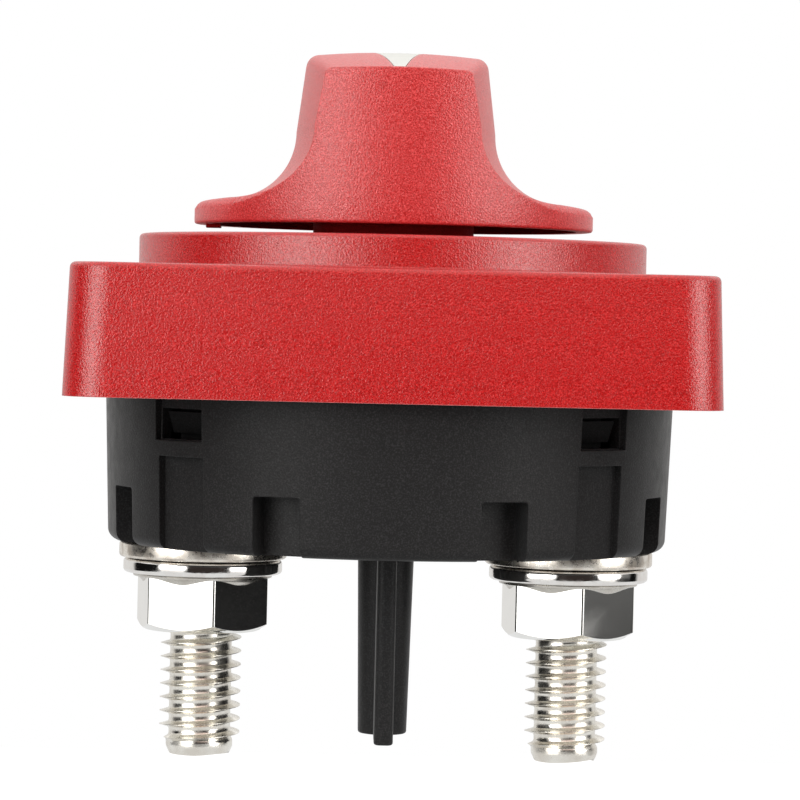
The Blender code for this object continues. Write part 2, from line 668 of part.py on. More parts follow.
def build_bridge(copper, axis):
    """The contact blade. At OFF it lies along Y, clear of both fixed contacts."""
    bm = bmesh.new()
    half_width, half_length = BRIDGE_WIDTH / 2, BRIDGE_LENGTH / 2
    verts = add_box(bm, (-half_width, -half_length, BRIDGE_BOTTOM), (half_width, half_length, BRIDGE_TOP))
    round_edges(bm, upright_edges(verts), BRIDGE_WIDTH / 4, 5)
    bridge = link_part("contact_bridge", mesh_from(bm, "contact_bridge"), copper, axis)
    bm = bmesh.new()
    add_cylinder(bm, 0, 0, HUB_RADIUS + GAP, BRIDGE_BOTTOM * 1.2, BRIDGE_TOP * 0.8, MEDIUM)
    cut(bridge, link_tool("bridge_bore", mesh_from(bm, "bridge_bore")))
    smooth(bridge)
    return bridge


def wire(name, points, radius, finish, parent=None):
    """A round wire along its points, as one closed mesh."""
    data = bpy.data.curves.new(name, "CURVE")
    data.dimensions = "3D"
    data.bevel_depth = radius
    data.bevel_resolution = 2
    data.use_fill_caps = True
    line = data.splines.new("POLY")
    line.points.add(len(points) - 1)
    for point, place in zip(line.points, points):
        point.co = (*place, 1.0)
    part = link_part(name, data, finish, parent)
    weld = part.modifiers.new("weld", "WELD")
    weld.merge_threshold = 0.00001
    return part


def build_contact_spring(steel, axis):
    low = BRIDGE_TOP + GAP + SPRING_WIRE_RADIUS
    high = ROTOR_BOTTOM - GAP - SPRING_WIRE_RADIUS
    count = int(SPRING_TURNS * SPRING_POINTS_PER_TURN)
    points = []
    for k in range(count + 1):
        share = k / count
        angle = 2 * math.pi * SPRING_TURNS * share
        points.append((SPRING_RADIUS * math.cos(angle), SPRING_RADIUS * math.sin(angle),
                       low + (high - low) * share))
    return wire("contact_spring", points, SPRING_WIRE_RADIUS, steel, axis)


def build_detent_springs(steel):
    """Two straight wires on the cam's flats, hooked round the carrier's posts."""
    y = CAM_SIDE / 2 + GAP + DETENT_WIRE_RADIUS
    z = (CAM_BOTTOM + CAM_TOP) / 2
    x = POST_SPACING / 2 + POST_WIDTH / 2 + GAP + DETENT_WIRE_RADIUS
    bend = DETENT_WIRE_RADIUS * 2
    for name, side in (("detent_spring_front", -1), ("detent_spring_back", 1)):
        hook = y + DETENT_HOOK
        points = [(-x, side * hook, z), (-x, side * (y + bend), z), (-x + bend * 0.3, side * (y + bend * 0.3), z),
                  (-x + bend, side * y, z), (x - bend, side * y, z), (x - bend * 0.3, side * (y + bend * 0.3), z),
                  (x, side * (y + bend), z), (x, side * hook, z)]
        wire(name, points, DETENT_WIRE_RADIUS, steel)


def square_bar(name, side, bottom, top, corner):
    bm = bmesh.new()
    verts = add_box(bm, (-side / 2, -side / 2, bottom), (side / 2, side / 2, top))
    round_edges(bm, upright_edges(verts), corner, 3)
    return link_tool(name, mesh_from(bm, name))


def build_spindle(steel, axis):
    """The shaft: round in its bearing, square in the rotor and the knob, with a cam."""
    groove = SPINDLE_SEAL_THICKNESS / 2 + GAP
    spindle = turned("spindle", [
        (0, KNOB_BOTTOM - GAP), (SHAFT_RADIUS, KNOB_BOTTOM - GAP),
        (SHAFT_RADIUS, SEAL_Z + groove), (SEAL_GROOVE_RADIUS, SEAL_Z + groove),
        (SEAL_GROOVE_RADIUS, SEAL_Z - groove), (SHAFT_RADIUS, SEAL_Z - groove),
        (SHAFT_RADIUS, CAM_TOP - GAP), (0, CAM_TOP - GAP)], MEDIUM, steel, parent=axis)
    join(spindle, square_bar("cam", CAM_SIDE, CAM_BOTTOM, CAM_TOP, CAM_CORNER))
    join(spindle, square_bar("upper_drive", DRIVE_SIDE, KNOB_BOTTOM - 2 * GAP, SPINDLE_TOP, DRIVE_CORNER))
    join(spindle, square_bar("lower_drive", DRIVE_SIDE, SOCKET_FLOOR + GAP, CAM_BOTTOM + GAP, DRIVE_CORNER))
    head_seat = SOCKET_FLOOR + 2 * GAP + SCREW_HEAD_HEIGHT + GAP
    bore = turned_tool("screw_bore", [
        (0, SPINDLE_TOP * 1.1), (SCREW_SHANK_RADIUS + GAP, SPINDLE_TOP * 1.1),
        (SCREW_SHANK_RADIUS + GAP, head_seat), (SCREW_HEAD_RADIUS + GAP, head_seat),
        (SCREW_HEAD_RADIUS + GAP, SOCKET_FLOOR - GAP), (0, SOCKET_FLOOR - GAP)], SMALL)
    cut(spindle, bore)
    smooth(spindle)
    return spindle


def build_knob_screw(steel, axis):
    bottom = SOCKET_FLOOR + 2 * GAP
    head_top = bottom + SCREW_HEAD_HEIGHT
    tip = KNOB_BOTTOM + KNOB_SCREW_REACH
    screw = turned("knob_screw", [
        (0, tip), (SCREW_SHANK_RADIUS * 0.6, tip), (SCREW_SHANK_RADIUS, tip - SCREW_SHANK_RADIUS),
        (SCREW_SHANK_RADIUS, head_top), (SCREW_HEAD_RADIUS, head_top),
        (SCREW_HEAD_RADIUS, bottom + GAP), (SCREW_HEAD_RADIUS - GAP, bottom), (0, bottom)],
        SMALL, steel, parent=axis)
    smooth(screw)


def bar_section(y):
    """The knob's outline across its bar at a place along it, from foot to foot."""
    share = (y / KNOB_RADIUS) ** 2
    shift = KNOB_END_NARROWING * share
    crest = KNOB_CREST - KNOB_END_DROP * share
    flare_x = KNOB_FLARE_X - shift
    flare_z = KNOB_BOTTOM + KNOB_FLARE_FOOT + KNOB_FLARE_RADIUS
    outside = KNOB_RADIUS * 1.15
    foot_z = KNOB_BOTTOM + KNOB_FLARE_FOOT - (outside - flare_x) * KNOB_FLANGE_SLOPE
    half = [(outside, KNOB_BOTTOM - KNOB_LIFT), (outside, foot_z)]
    half += arc_points((flare_x, flare_z), KNOB_FLARE_RADIUS, -math.pi / 2, -math.pi, 7)
    top_half = KNOB_HALF_WIDTH_TOP - KNOB_TOP_NARROWING * share
    edge = KNOB_TOP_EDGE
    shoulder = crest - KNOB_TOP_CROWN
    lean = math.atan2(KNOB_HALF_WIDTH_FOOT - KNOB_HALF_WIDTH_TOP, KNOB_CREST - flare_z)
    half += arc_points((top_half - edge, shoulder - edge), edge, lean, math.pi / 2, 4)
    half += [(top_half * 0.5, crest - KNOB_TOP_CROWN * 0.3), (0, crest)]
    return half + [(-x, z) for x, z in reversed(half[:-1])]


def bar_loft(name):
    """The bar and its flared foot, lofted along Y a little past the knob's rim."""
    bm = bmesh.new()
    stations = 14
    reach = KNOB_RADIUS * 1.08
    rows = []
    for k in range(stations + 1):
        y = -reach + 2 * reach * k / stations
        rows.append([bm.verts.new((x, y, z)) for x, z in bar_section(y)])
    for row, following in zip(rows, rows[1:]):
        count = len(row)
        for k in range(count):
            n = (k + 1) % count
            bm.faces.new((row[k], row[n], following[n], following[k]))
    bm.faces.new(list(reversed(rows[0])))
    bm.faces.new(rows[-1])
    bmesh.ops.recalc_face_normals(bm, faces=bm.faces)
    return mesh_from(bm, name)


def knob_envelope():
    """The round outside of the knob, which trims the bar's ends."""
    top = KNOB_CREST * 1.05
    taper = (top - KNOB_BOTTOM - KNOB_RIM) * math.tan(KNOB_END_DRAFT)
    return turned_tool("knob_envelope", [
        (0, top), (KNOB_RADIUS - taper, top), (KNOB_RADIUS, KNOB_BOTTOM + KNOB_RIM),
        (KNOB_RADIUS, KNOB_BOTTOM + KNOB_EDGE_FILLET),
        (KNOB_RADIUS - KNOB_EDGE_FILLET, KNOB_BOTTOM), (0, KNOB_BOTTOM)], FINE)


def knob_hollow():
    """The hollow under the bar, with the drive boss and a rib left standing."""
    bm = bmesh.new()
    half_width = KNOB_HALF_WIDTH_TOP - KNOB_END_NARROWING - KNOB_WALL * 0.6
    half_length = KNOB_RADIUS - KNOB_WALL * 1.6
    ceiling = KNOB_CREST - KNOB_TOP_WALL
    verts = add_box(bm, (-half_width, -half_length, KNOB_BOTTOM - GAP), (half_width, half_length, ceiling))
    round_edges(bm, upright_edges(verts), KNOB_WALL, 3)
    hollow = link_tool("knob_hollow", mesh_from(bm, "knob_hollow"))
    bm = bmesh.new()
    add_cylinder(bm, 0, 0, KNOB_BOSS_RADIUS, KNOB_BOTTOM - KNOB_LIFT, KNOB_CREST, MEDIUM)
    boss = link_tool("knob_boss", mesh_from(bm, "knob_boss"))
    bm = bmesh.new()
    add_box(bm, (-KNOB_RIB / 2, -KNOB_RADIUS, KNOB_BOTTOM + KNOB_RIM), (KNOB_RIB / 2, KNOB_RADIUS, KNOB_CREST))
    rib = link_tool("knob_rib", mesh_from(bm, "knob_rib"))
    cut(hollow, boss)
    cut(hollow, rib)
    return hollow


def pointer_prism(name, grow, bottom):
    """The pointer's outline as an upright block, its tip towards -Y."""
    bm = bmesh.new()
    tip = -POINTER_TIP - grow
    tail = -POINTER_TIP + POINTER_LENGTH + grow
    tip_half = POINTER_TIP_WIDTH / 2 + grow
    tail_half = POINTER_TAIL_WIDTH / 2 + grow
    verts = add_box(bm, (-tail_half, tip, bottom), (tail_half, tail, KNOB_CREST * 1.1))
    for vert in verts:
        if vert.co.y < (tip + tail) / 2:
            vert.co.x *= tip_half / tail_half
    return mesh_from(bm, name)


def build_knob(red, white, axis):
    knob = link_part("knob", bar_loft("knob"), red, axis)
    combine(knob, knob_envelope(), "INTERSECT")
    cut(knob, knob_hollow())
    collar_inner = SHAFT_RADIUS + GAP
    collar_outer = collar_inner + KNOB_COLLAR_WALL
    join(knob, turned_tool("knob_collar", ring_points(
        collar_inner, collar_outer, PLATFORM_TOP + GAP, KNOB_BOTTOM + KNOB_RIM), MEDIUM, closed=True))
    cut(knob, turned_tool("knob_skirt", ring_points(
        collar_outer, KNOB_RADIUS - KNOB_SKIRT_WALL, KNOB_BOTTOM - GAP, KNOB_BOTTOM + KNOB_SKIRT_DEPTH),
        FINE, closed=True))
    bm = bmesh.new()
    socket_top = KNOB_BOTTOM + KNOB_SOCKET_DEPTH
    add_box(bm, (-SOCKET_HALF, -SOCKET_HALF, KNOB_BOTTOM - KNOB_LIFT), (SOCKET_HALF, SOCKET_HALF, socket_top))
    cut(knob, link_tool("knob_socket", mesh_from(bm, "knob_socket")))
    bm = bmesh.new()
    add_cylinder(bm, 0, 0, SCREW_SHANK_RADIUS + GAP, socket_top - GAP, KNOB_BOTTOM + KNOB_SCREW_REACH + GAP, 12)
    cut(knob, link_tool("knob_pilot", mesh_from(bm, "knob_pilot")))
    end_z = KNOB_CREST - POINTER_DEPTH
    cut(knob, link_tool("pointer_pocket", pointer_prism("pointer_pocket", POINTER_GAP, end_z)))
    bm = bmesh.new()
    nub_outer = -KNOB_RADIUS + NUB_INSET
    add_box(bm, (nub_outer, -NUB_WIDTH, KNOB_BOTTOM - NUB_HEIGHT),
            (nub_outer + NUB_WIDTH, NUB_WIDTH, KNOB_BOTTOM + KNOB_SKIRT_DEPTH + GAP))
    join(knob, link_tool("knob_nub", mesh_from(bm, "knob_nub")))
    smooth(knob)

    inlay = link_part("pointer_inlay", pointer_prism("pointer_inlay", 0.0, end_z + POINTER_GAP), white, axis)
    combine(inlay, link_tool("pointer_face", bar_loft("pointer_face")), "INTERSECT")
    return knob


def build_terminal(side, x, tin, copper, steel, rubber):
    """One terminal: stud with its pad, the contact riveted on it, seal, washer, nut."""
    rivet_top = CONTACT_TOP - GAP
    stud = turned("terminal_stud_" + side, [
        (0, rivet_top), (RIVET_RADIUS + RIVET_FLARE, rivet_top), (RIVET_RADIUS, rivet_top - RIVET_FLARE),
        (RIVET_RADIUS, FLOOR_TOP), (NECK_RADIUS, FLOOR_TOP), (NECK_RADIUS, PAD_TOP),
        (PAD_RADIUS, PAD_TOP), (PAD_RADIUS, PAD_BOTTOM), (STUD_RADIUS, PAD_BOTTOM),
        (STUD_RADIUS, STUD_END + STUD_CHAMFER), (STUD_TIP_RADIUS, STUD_END), (0, STUD_END)],
        MEDIUM, tin, location=(x, 0, 0))
    smooth(stud)
    hole = RIVET_RADIUS + GAP
    contact = turned("fixed_contact_" + side, [
        (hole + RIVET_FLARE, CONTACT_TOP), (CONTACT_RADIUS, CONTACT_TOP),
        (CONTACT_RADIUS, FLOOR_TOP + GAP), (hole, FLOOR_TOP + GAP),
        (hole, CONTACT_TOP - RIVET_FLARE - GAP), (hole + RIVET_FLARE, CONTACT_TOP - GAP)],
        MEDIUM, copper, closed=True, location=(x, 0, 0))
    smooth(contact)
    ring = turned("stud_seal_" + side, circle_points(
        STUD_SEAL_RADIUS, PAD_TOP + GAP + STUD_SEAL_THICKNESS / 2, STUD_SEAL_THICKNESS / 2, 8),
        MEDIUM, rubber, closed=True, location=(x, 0, 0))
    smooth(ring, 60)
    washer_top = PAD_BOTTOM - STACK_GAP
    washer_bottom = washer_top - WASHER_THICKNESS
    washer = turned("flat_washer_" + side, ring_points(
        STUD_RADIUS + 2 * GAP, WASHER_RADIUS, washer_bottom, washer_top, WASHER_EDGE),
        MEDIUM, steel, closed=True, location=(x, 0, 0))
    smooth(washer)
    build_nut(side, x, washer_bottom - STACK_GAP, steel)


def build_nut(side, x, top, steel):
    """A hex nut, its corners chamfered at both ends by a turned shape."""
    bm = bmesh.new()
    corner = NUT_ACROSS_FLATS / math.sqrt(3)
    bmesh.ops.create_cone(bm, cap_ends=True, segments=6, radius1=corner, radius2=corner, depth=NUT_HEIGHT)
    bmesh.ops.rotate(bm, verts=bm.verts, cent=(0, 0, 0), matrix=Matrix.Rotation(NUT_TURN, 3, "Z"))
    bmesh.ops.translate(bm, verts=bm.verts, vec=(0, 0, top - NUT_HEIGHT / 2))
    nut = link_part("hex_nut_" + side, mesh_from(bm, "hex_nut_" + side), steel, location=(x, 0, 0))
    chamfer = corner - NUT_ACROSS_FLATS / 2
    drop = chamfer * math.tan(math.radians(30)) + GAP
    bottom = top - NUT_HEIGHT
    trim = turned_tool("nut_chamfer_" + side, [
        (0, top), (NUT_ACROSS_FLATS / 2 - GAP, top), (corner + GAP, top - drop),
        (corner + GAP, bottom + drop), (NUT_ACROSS_FLATS / 2 - GAP, bottom), (0, bottom)],
        MEDIUM, location=(x, 0, 0))
    combine(nut, trim, "INTERSECT")
    seat = top - NUT_COLLAR_HEIGHT
    lean = (NUT_COLLAR_RADIUS - NUT_ACROSS_FLATS / 2 + GAP) * 0.7
    join(nut, turned_tool("nut_collar_" + side, [
        (0, top + GAP / 6), (NUT_COLLAR_RADIUS, top + GAP / 6), (NUT_COLLAR_RADIUS, seat),
        (NUT_ACROSS_FLATS / 2 - GAP, seat - lean), (0, seat - lean)], MEDIUM, location=(x, 0, 0)))
    bm = bmesh.new()
    add_cylinder(bm, 0, 0, STUD_RADIUS + GAP, bottom - GAP, top + GAP, MEDIUM)
    cut(nut, link_tool("nut_bore_" + side, mesh_from(bm, "nut_bore_" + side), (x, 0, 0)))
    smooth(nut)


def build_cover_screws(steel):
    head_top = -GAP
    for k, (x, y) in enumerate(polar_places(COVER_SCREW_CIRCLE, 4, math.radians(45))):
        tip = COVER_SCREW_LENGTH
        screw = turned("cover_screw_%d" % (k + 1), [
            (0, tip), (COVER_SCREW_RADIUS * 0.6, tip), (COVER_SCREW_RADIUS, tip - COVER_SCREW_RADIUS),
            (COVER_SCREW_RADIUS, head_top), (COVER_SCREW_HEAD_RADIUS, head_top),
            (COVER_SCREW_HEAD_RADIUS, head_top - COVER_SCREW_HEAD_HEIGHT + GAP * 2),
            (COVER_SCREW_HEAD_RADIUS - GAP * 2, head_top - COVER_SCREW_HEAD_HEIGHT),
            (0, head_top - COVER_SCREW_HEAD_HEIGHT)], 12, steel, location=(x, y, 0))
        smooth(screw)


def build_seals(rubber, axis):
    gasket = turned("cover_gasket", ring_points(
        HOUSING_INNER_RADIUS, COLLAR_RADIUS, GASKET_BOTTOM, GASKET_TOP), FINE, rubber, closed=True)
    smooth(gasket)
    middle = (SEAL_GROOVE_RADIUS + SHAFT_RADIUS + GAP) / 2
    section = min(SPINDLE_SEAL_THICKNESS / 2, (SHAFT_RADIUS - SEAL_GROOVE_RADIUS) / 2)
    seal = turned("spindle_seal", circle_points(middle, SEAL_Z, section, 8), MEDIUM, rubber,
                  closed=True, parent=axis)
    smooth(seal, 60)


def build_switch():
    red = new_material("red_moulding", (0.560, 0.022, 0.024), 0.38)
    black = new_material("black_moulding", (0.022, 0.022, 0.023), 0.48)
    white = new_material("white_moulding", (0.88, 0.89, 0.86), 0.35)
    grey = new_material("rotor_moulding", (0.12, 0.12, 0.13), 0.5)
    tin = new_material("tinned_copper", (0.74, 0.71, 0.66), 0.3, 1.0)
    chrome = new_material("plated_steel", (0.80, 0.79, 0.77), 0.12, 1.0)
    steel = new_material("spring_steel", (0.55, 0.56, 0.58), 0.3, 1.0)
    copper = new_material("copper", (0.78, 0.40, 0.26), 0.3, 1.0)
    rubber = new_material("seal_rubber", (0.02, 0.02, 0.02), 0.7)

    axis = bpy.data.objects.new("knob_axis", None)
    parts.objects.link(axis)
    build_cover(red)
    build_housing(black)
    build_carrier(black)
    build_rotor(grey, axis)
    build_bridge(copper, axis)
    build_contact_spring(steel, axis)
    build_detent_springs(steel)
    build_spindle(steel, axis)
    build_knob_screw(steel, axis)
    build_knob(red, white, axis)
    build_seals(rubber, axis)
    build_terminal("left", -STUD_X, tin, copper, chrome, rubber)
    build_terminal("right", STUD_X, tin, copper, chrome, rubber)
    build_cover_screws(steel)


clear_scene()
parts = new_collection("boat_battery_switch")
tools = new_collection("cutters")
build_switch()
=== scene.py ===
import math

import bmesh
import bpy
from mathutils import Matrix, Vector


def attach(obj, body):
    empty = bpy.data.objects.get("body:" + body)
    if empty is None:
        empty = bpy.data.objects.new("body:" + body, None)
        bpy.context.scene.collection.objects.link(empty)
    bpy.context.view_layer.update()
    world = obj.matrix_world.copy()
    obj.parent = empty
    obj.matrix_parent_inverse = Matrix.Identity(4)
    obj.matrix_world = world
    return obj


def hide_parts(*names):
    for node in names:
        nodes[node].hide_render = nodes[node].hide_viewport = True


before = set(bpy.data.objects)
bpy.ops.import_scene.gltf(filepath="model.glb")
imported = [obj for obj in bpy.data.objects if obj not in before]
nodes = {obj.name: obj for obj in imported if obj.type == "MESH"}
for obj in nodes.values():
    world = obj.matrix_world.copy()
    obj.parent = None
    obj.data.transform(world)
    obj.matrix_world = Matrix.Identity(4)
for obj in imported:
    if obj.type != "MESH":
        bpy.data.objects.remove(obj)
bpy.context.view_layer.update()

# Lengths are in metres, angles in degrees. The knob turns about Z.

steps = {"fine": 256, "medium": 128, "small": 48, "edge": 5}  # faces round a circle or an edge
mergeDistance = 2e-7
sameHeight = 1e-6
alongShare = 0.9  # least cosine at which an edge counts as lying along a direction
studX = 0.02145  # the housing and the terminals share it


# Small tools for meshes

def newObject(name, bm):
    mesh = bpy.data.meshes.new(name)
    bm.to_mesh(mesh)
    bm.free()
    obj = bpy.data.objects.new(name, mesh)
    bpy.context.scene.collection.objects.link(obj)
    return obj


def applyModifiers(obj):
    bpy.context.view_layer.update()
    depsgraph = bpy.context.evaluated_depsgraph_get()
    made = bpy.data.meshes.new_from_object(obj.evaluated_get(depsgraph))
    obj.modifiers.clear()
    old = obj.data
    obj.data = made
    bpy.data.meshes.remove(old)
    made.name = obj.name


def carve(obj, tool, operation="DIFFERENCE"):
    step = obj.modifiers.new("carve", "BOOLEAN")
    step.operation = operation
    step.solver = "EXACT"
    step.object = tool
    applyModifiers(obj)
    bpy.data.objects.remove(tool, do_unlink=True)


def cleanFaces(obj):
    bm = bmesh.new()
    bm.from_mesh(obj.data)
    bmesh.ops.remove_doubles(bm, verts=bm.verts, dist=mergeDistance)
    bmesh.ops.dissolve_degenerate(bm, edges=bm.edges, dist=mergeDistance)
    bmesh.ops.recalc_face_normals(bm, faces=bm.faces)
    bm.to_mesh(obj.data)
    bm.free()


def finishPiece(obj, body, material, slotName, *replaced, angle=32):
    cleanFaces(obj)
    obj.data.materials.clear()
    obj.data.materials.append(material)
    obj.data.shade_smooth()
    obj.data.set_sharp_from_angle(angle=math.radians(angle))
    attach(obj, body)
    if replaced:
        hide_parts(*replaced)


def fromAxis(face, x=0):
    return math.hypot(face.center.x - x, face.center.y)


def paintFaces(obj, material, chosen):
    obj.data.materials.append(material)
    for face in obj.data.polygons:
        if chosen(face):
            face.material_index = 1


def spinProfile(name, points, count, centre=(0, 0), closed=False):
    bm = bmesh.new()
    x, y = centre
    verts = [bm.verts.new((x + radius, y, z)) for radius, z in points]
    ends = list(zip(verts, verts[1:]))
    if closed:
        ends.append((verts[-1], verts[0]))
    edges = [bm.edges.new(pair) for pair in ends]
    bmesh.ops.spin(bm, geom=verts + edges, cent=(x, y, 0), axis=(0, 0, 1),
                   angle=2 * math.pi, steps=count, use_merge=True)
    bmesh.ops.remove_doubles(bm, verts=bm.verts, dist=mergeDistance / 2)
    bmesh.ops.recalc_face_normals(bm, faces=bm.faces)
    return newObject(name, bm)


def arcPoints(centre, radius, start, end, count):
    turn = [math.radians(start + (end - start) * k / count) for k in range(count + 1)]
    return [(centre[0] + radius * math.cos(a), centre[1] + radius * math.sin(a)) for a in turn]


def addBox(bm, low, high, turn=0.0):
    low, high = Vector(low), Vector(high)
    place = Matrix.Translation((low + high) / 2) @ Matrix.Diagonal((*(high - low), 1))
    return bmesh.ops.create_cube(bm, size=1, matrix=Matrix.Rotation(turn, 4, "Z") @ place)["verts"]


def addRod(bm, x, y, radius, bottom, top, count, topRadius=None):
    place = Matrix.Translation((x, y, (bottom + top) / 2))
    topRadius = radius if topRadius is None else topRadius
    return bmesh.ops.create_cone(bm, cap_ends=True, segments=count, radius1=radius,
                                 radius2=topRadius, depth=top - bottom, matrix=place)["verts"]


def roundEdges(bm, edges, radius, segments):
    return bmesh.ops.bevel(bm, geom=list(edges), offset=radius, offset_type="OFFSET",
                           affect="EDGES", segments=segments, profile=0.5, material=-1)


def edgesAlong(verts, way):
    edges = dict.fromkeys(edge for vert in verts for edge in vert.link_edges)
    return [e for e in edges
            if abs((e.verts[0].co - e.verts[1].co).normalized().dot(way)) > alongShare]


def uprightEdges(verts):
    return edgesAlong(verts, Vector((0, 0, 1)))


def isFlat(edge, height):
    return all(abs(vert.co.z - height) < sameHeight for vert in edge.verts)


def cornerPlaces(spacing):
    return [(spacing / 2 * sx, spacing / 2 * sy) for sx in (1, -1) for sy in (1, -1)]


# Small tools for materials

bevelSamples = 6


def newMaterial(name, colour, roughness, metallic=0.0):
    material = bpy.data.materials.new(name)
    material.use_nodes = True
    tree = material.node_tree
    shader = tree.nodes["Principled BSDF"]
    shader.inputs["Base Color"].default_value = (*colour, 1)
    shader.inputs["Roughness"].default_value = roughness
    shader.inputs["Metallic"].default_value = metallic
    return material, tree, shader


def addNode(tree, kind, values=(), **settings):
    node = tree.nodes.new(kind)
    for key, value in settings.items():
        setattr(node, key, value)
    for key, value in dict(values).items():
        node.inputs[key].default_value = value
    return node


def noise(tree, size, detail=2):
    place = addNode(tree, "ShaderNodeTexCoord")
    pattern = addNode(tree, "ShaderNodeTexNoise", {"Scale": 1 / size, "Detail": detail})
    tree.links.new(place.outputs["Object"], pattern.inputs["Vector"])
    return pattern.outputs["Fac"]


def ramp(tree, source, places, values):
    node = addNode(tree, "ShaderNodeValToRGB")
    elements = node.color_ramp.elements
    while len(elements) < len(places):
        elements.new(0.5)
    for element, place, value in zip(elements, places, values):
        element.position = place
        element.color = (*value, 1) if isinstance(value, tuple) else (value, value, value, 1)
    tree.links.new(source, node.inputs["Fac"])
    return node.outputs["Color"]


def mottle(tree, size, places, values, detail=2):
    return ramp(tree, noise(tree, size, detail), places, values)


def blendColours(tree, factor, first, second):
    node = addNode(tree, "ShaderNodeMix", data_type="RGBA")
    for number, value in ((6, first), (7, second)):  # the Mix node's colour sockets
        if isinstance(value, tuple):
            node.inputs[number].default_value = (*value, 1)
        else:
            tree.links.new(value, node.inputs[number])
    tree.links.new(factor, node.inputs[0])
    return node.outputs[2]


# Painted highlight: a mask along edges where a paler tone is mixed into the colour, standing in for
# light catching them
def edgeHighlightMask(tree, radius, most, places):
    rounded = addNode(tree, "ShaderNodeBevel", {"Radius": radius}, samples=bevelSamples)
    plain = addNode(tree, "ShaderNodeNewGeometry")
    match = addNode(tree, "ShaderNodeVectorMath", operation="DOT_PRODUCT")
    tree.links.new(rounded.outputs["Normal"], match.inputs[0])
    tree.links.new(plain.outputs["Normal"], match.inputs[1])
    return ramp(tree, match.outputs["Value"], places, (most, 0.0))


def surface(tree, shader, edgeRadius, *layers):
    last = None
    if edgeRadius:
        last = addNode(tree, "ShaderNodeBevel", {"Radius": edgeRadius},
                       samples=bevelSamples).outputs["Normal"]
    for source, strength, depth in layers:
        bump = addNode(tree, "ShaderNodeBump", {"Strength": strength, "Distance": depth})
        tree.links.new(source, bump.inputs["Height"])
        if last:
            tree.links.new(last, bump.inputs["Normal"])
        last = bump.outputs["Normal"]
    tree.links.new(last, shader.inputs["Normal"])


print("stage 1: frame loaded")


# Finishes: places are where a noise of 0 to 1 starts and ends a change

redFinish = {
    "paleShare": 0.95,
    "speckScale": 0.8,  # of the grain's size
    "speckPlaces": (0.40, 0.66),
    "roughSize": 0.00040,
    "roughSpan": (-0.04, 0.06),
    "grainSize": 0.00020,
    "grainDepth": 0.000085,
    "grainStrength": 0.8,
    "waveSize": 0.0060,
    "waveDepth": 0.000050,
    "waveStrength": 0.3,
    # Painted highlight: a paler tone mixed into the red along its edges, standing in for light
    # catching the rounded edges
    "edgeHighlightShare": 0.85,
    "edgeHighlightTone": (0.78, 0.26, 0.26),
    "edgeHighlightPlaces": (0.84, 0.985),  # how far the rounded normal still meets the plain one
}

blackFinish = {
    "colour": (0.0160, 0.0161, 0.0165),
    "pale": (0.034, 0.0345, 0.0355),
    "roughness": 0.34,
    "specular": 0.09,
    "paleShare": 1.0,
    "speckScale": 0.8,
    "speckPlaces": (0.46, 0.74),
    "roughSize": 0.0016,
    "roughSpan": (-0.03, 0.06),
    "grainSize": 0.00022,
    "grainDepth": 0.000045,
    "grainStrength": 0.6,
    "waveSize": 0.0050,
    "waveDepth": 0.000060,
    "waveStrength": 0.25,
    "edgeHighlightShare": 0.0,
}

metalFinish = {
    "wornPlaces": (0.38, 0.66),
    "roughPlaces": (0.35, 0.68),
    "roughScale": 0.5,  # of the mottle's size
    "grainSize": 0.00020,
    "grainStrength": 0.4,
    "waveSize": 0.0016,
    "waveStrength": 0.3,
}

evenPlaces = (0.3, 0.7)


def makePlastic(name, finish, colour, pale, roughness, specular, edgeRadius):
    f = finish
    material, tree, shader = newMaterial(name, colour, roughness)
    shader.inputs["Specular IOR Level"].default_value = specular
    speck = mottle(tree, f["grainSize"] * f["speckScale"], f["speckPlaces"], (0.0, f["paleShare"]))
    tone = blendColours(tree, speck, colour, pale)
    # Painted highlight: a paler tone is mixed into the colour along the edges
    if f["edgeHighlightShare"]:
        edges = edgeHighlightMask(tree, edgeRadius, f["edgeHighlightShare"], f["edgeHighlightPlaces"])
        tone = blendColours(tree, edges, tone, f["edgeHighlightTone"])
    tree.links.new(tone, shader.inputs["Base Color"])
    rough = mottle(tree, f["roughSize"], evenPlaces,
                   [roughness + part for part in f["roughSpan"]], detail=3)
    tree.links.new(rough, shader.inputs["Roughness"])
    surface(tree, shader, edgeRadius,
            (noise(tree, f["grainSize"]), f["grainStrength"], f["grainDepth"]),
            (noise(tree, f["waveSize"]), f["waveStrength"], f["waveDepth"]))
    return material


# Painted shade: a depth below 1 darkens the colour and the gloss, standing in for shade
def makeBlack(name, edgeRadius, depth=1.0):
    b = blackFinish
    dark, pale = (tuple(part * depth for part in b[key]) for key in ("colour", "pale"))
    return makePlastic(name, b, dark, pale, b["roughness"], b["specular"] * depth ** 2, edgeRadius)


def makePlain(name, colour, low, high, roughness, mottleSize, detail, grain, edgeRadius=0.0):
    material, tree, shader = newMaterial(name, colour, roughness)
    tone = mottle(tree, mottleSize, evenPlaces, (low, high), detail)
    tree.links.new(tone, shader.inputs["Base Color"])
    surface(tree, shader, edgeRadius,
            (noise(tree, grain["size"]), grain["strength"], grain["depth"]))
    return material


def makeMetal(name, colour, worn, roughness, mottleSize, grainDepth, edgeRadius=0.0, waveDepth=0.0):
    m = metalFinish
    material, tree, shader = newMaterial(name, colour, roughness[0], metallic=1.0)
    patch = mottle(tree, mottleSize, m["wornPlaces"], (0.0, 1.0), detail=4)
    tree.links.new(blendColours(tree, patch, colour, worn), shader.inputs["Base Color"])
    rough = mottle(tree, mottleSize * m["roughScale"], m["roughPlaces"], roughness, detail=3)
    tree.links.new(rough, shader.inputs["Roughness"])
    surface(tree, shader, edgeRadius,
            (noise(tree, m["grainSize"], detail=3), m["grainStrength"], grainDepth),
            (noise(tree, m["waveSize"]), m["waveStrength"], grainDepth * 2 + waveDepth))
    return material


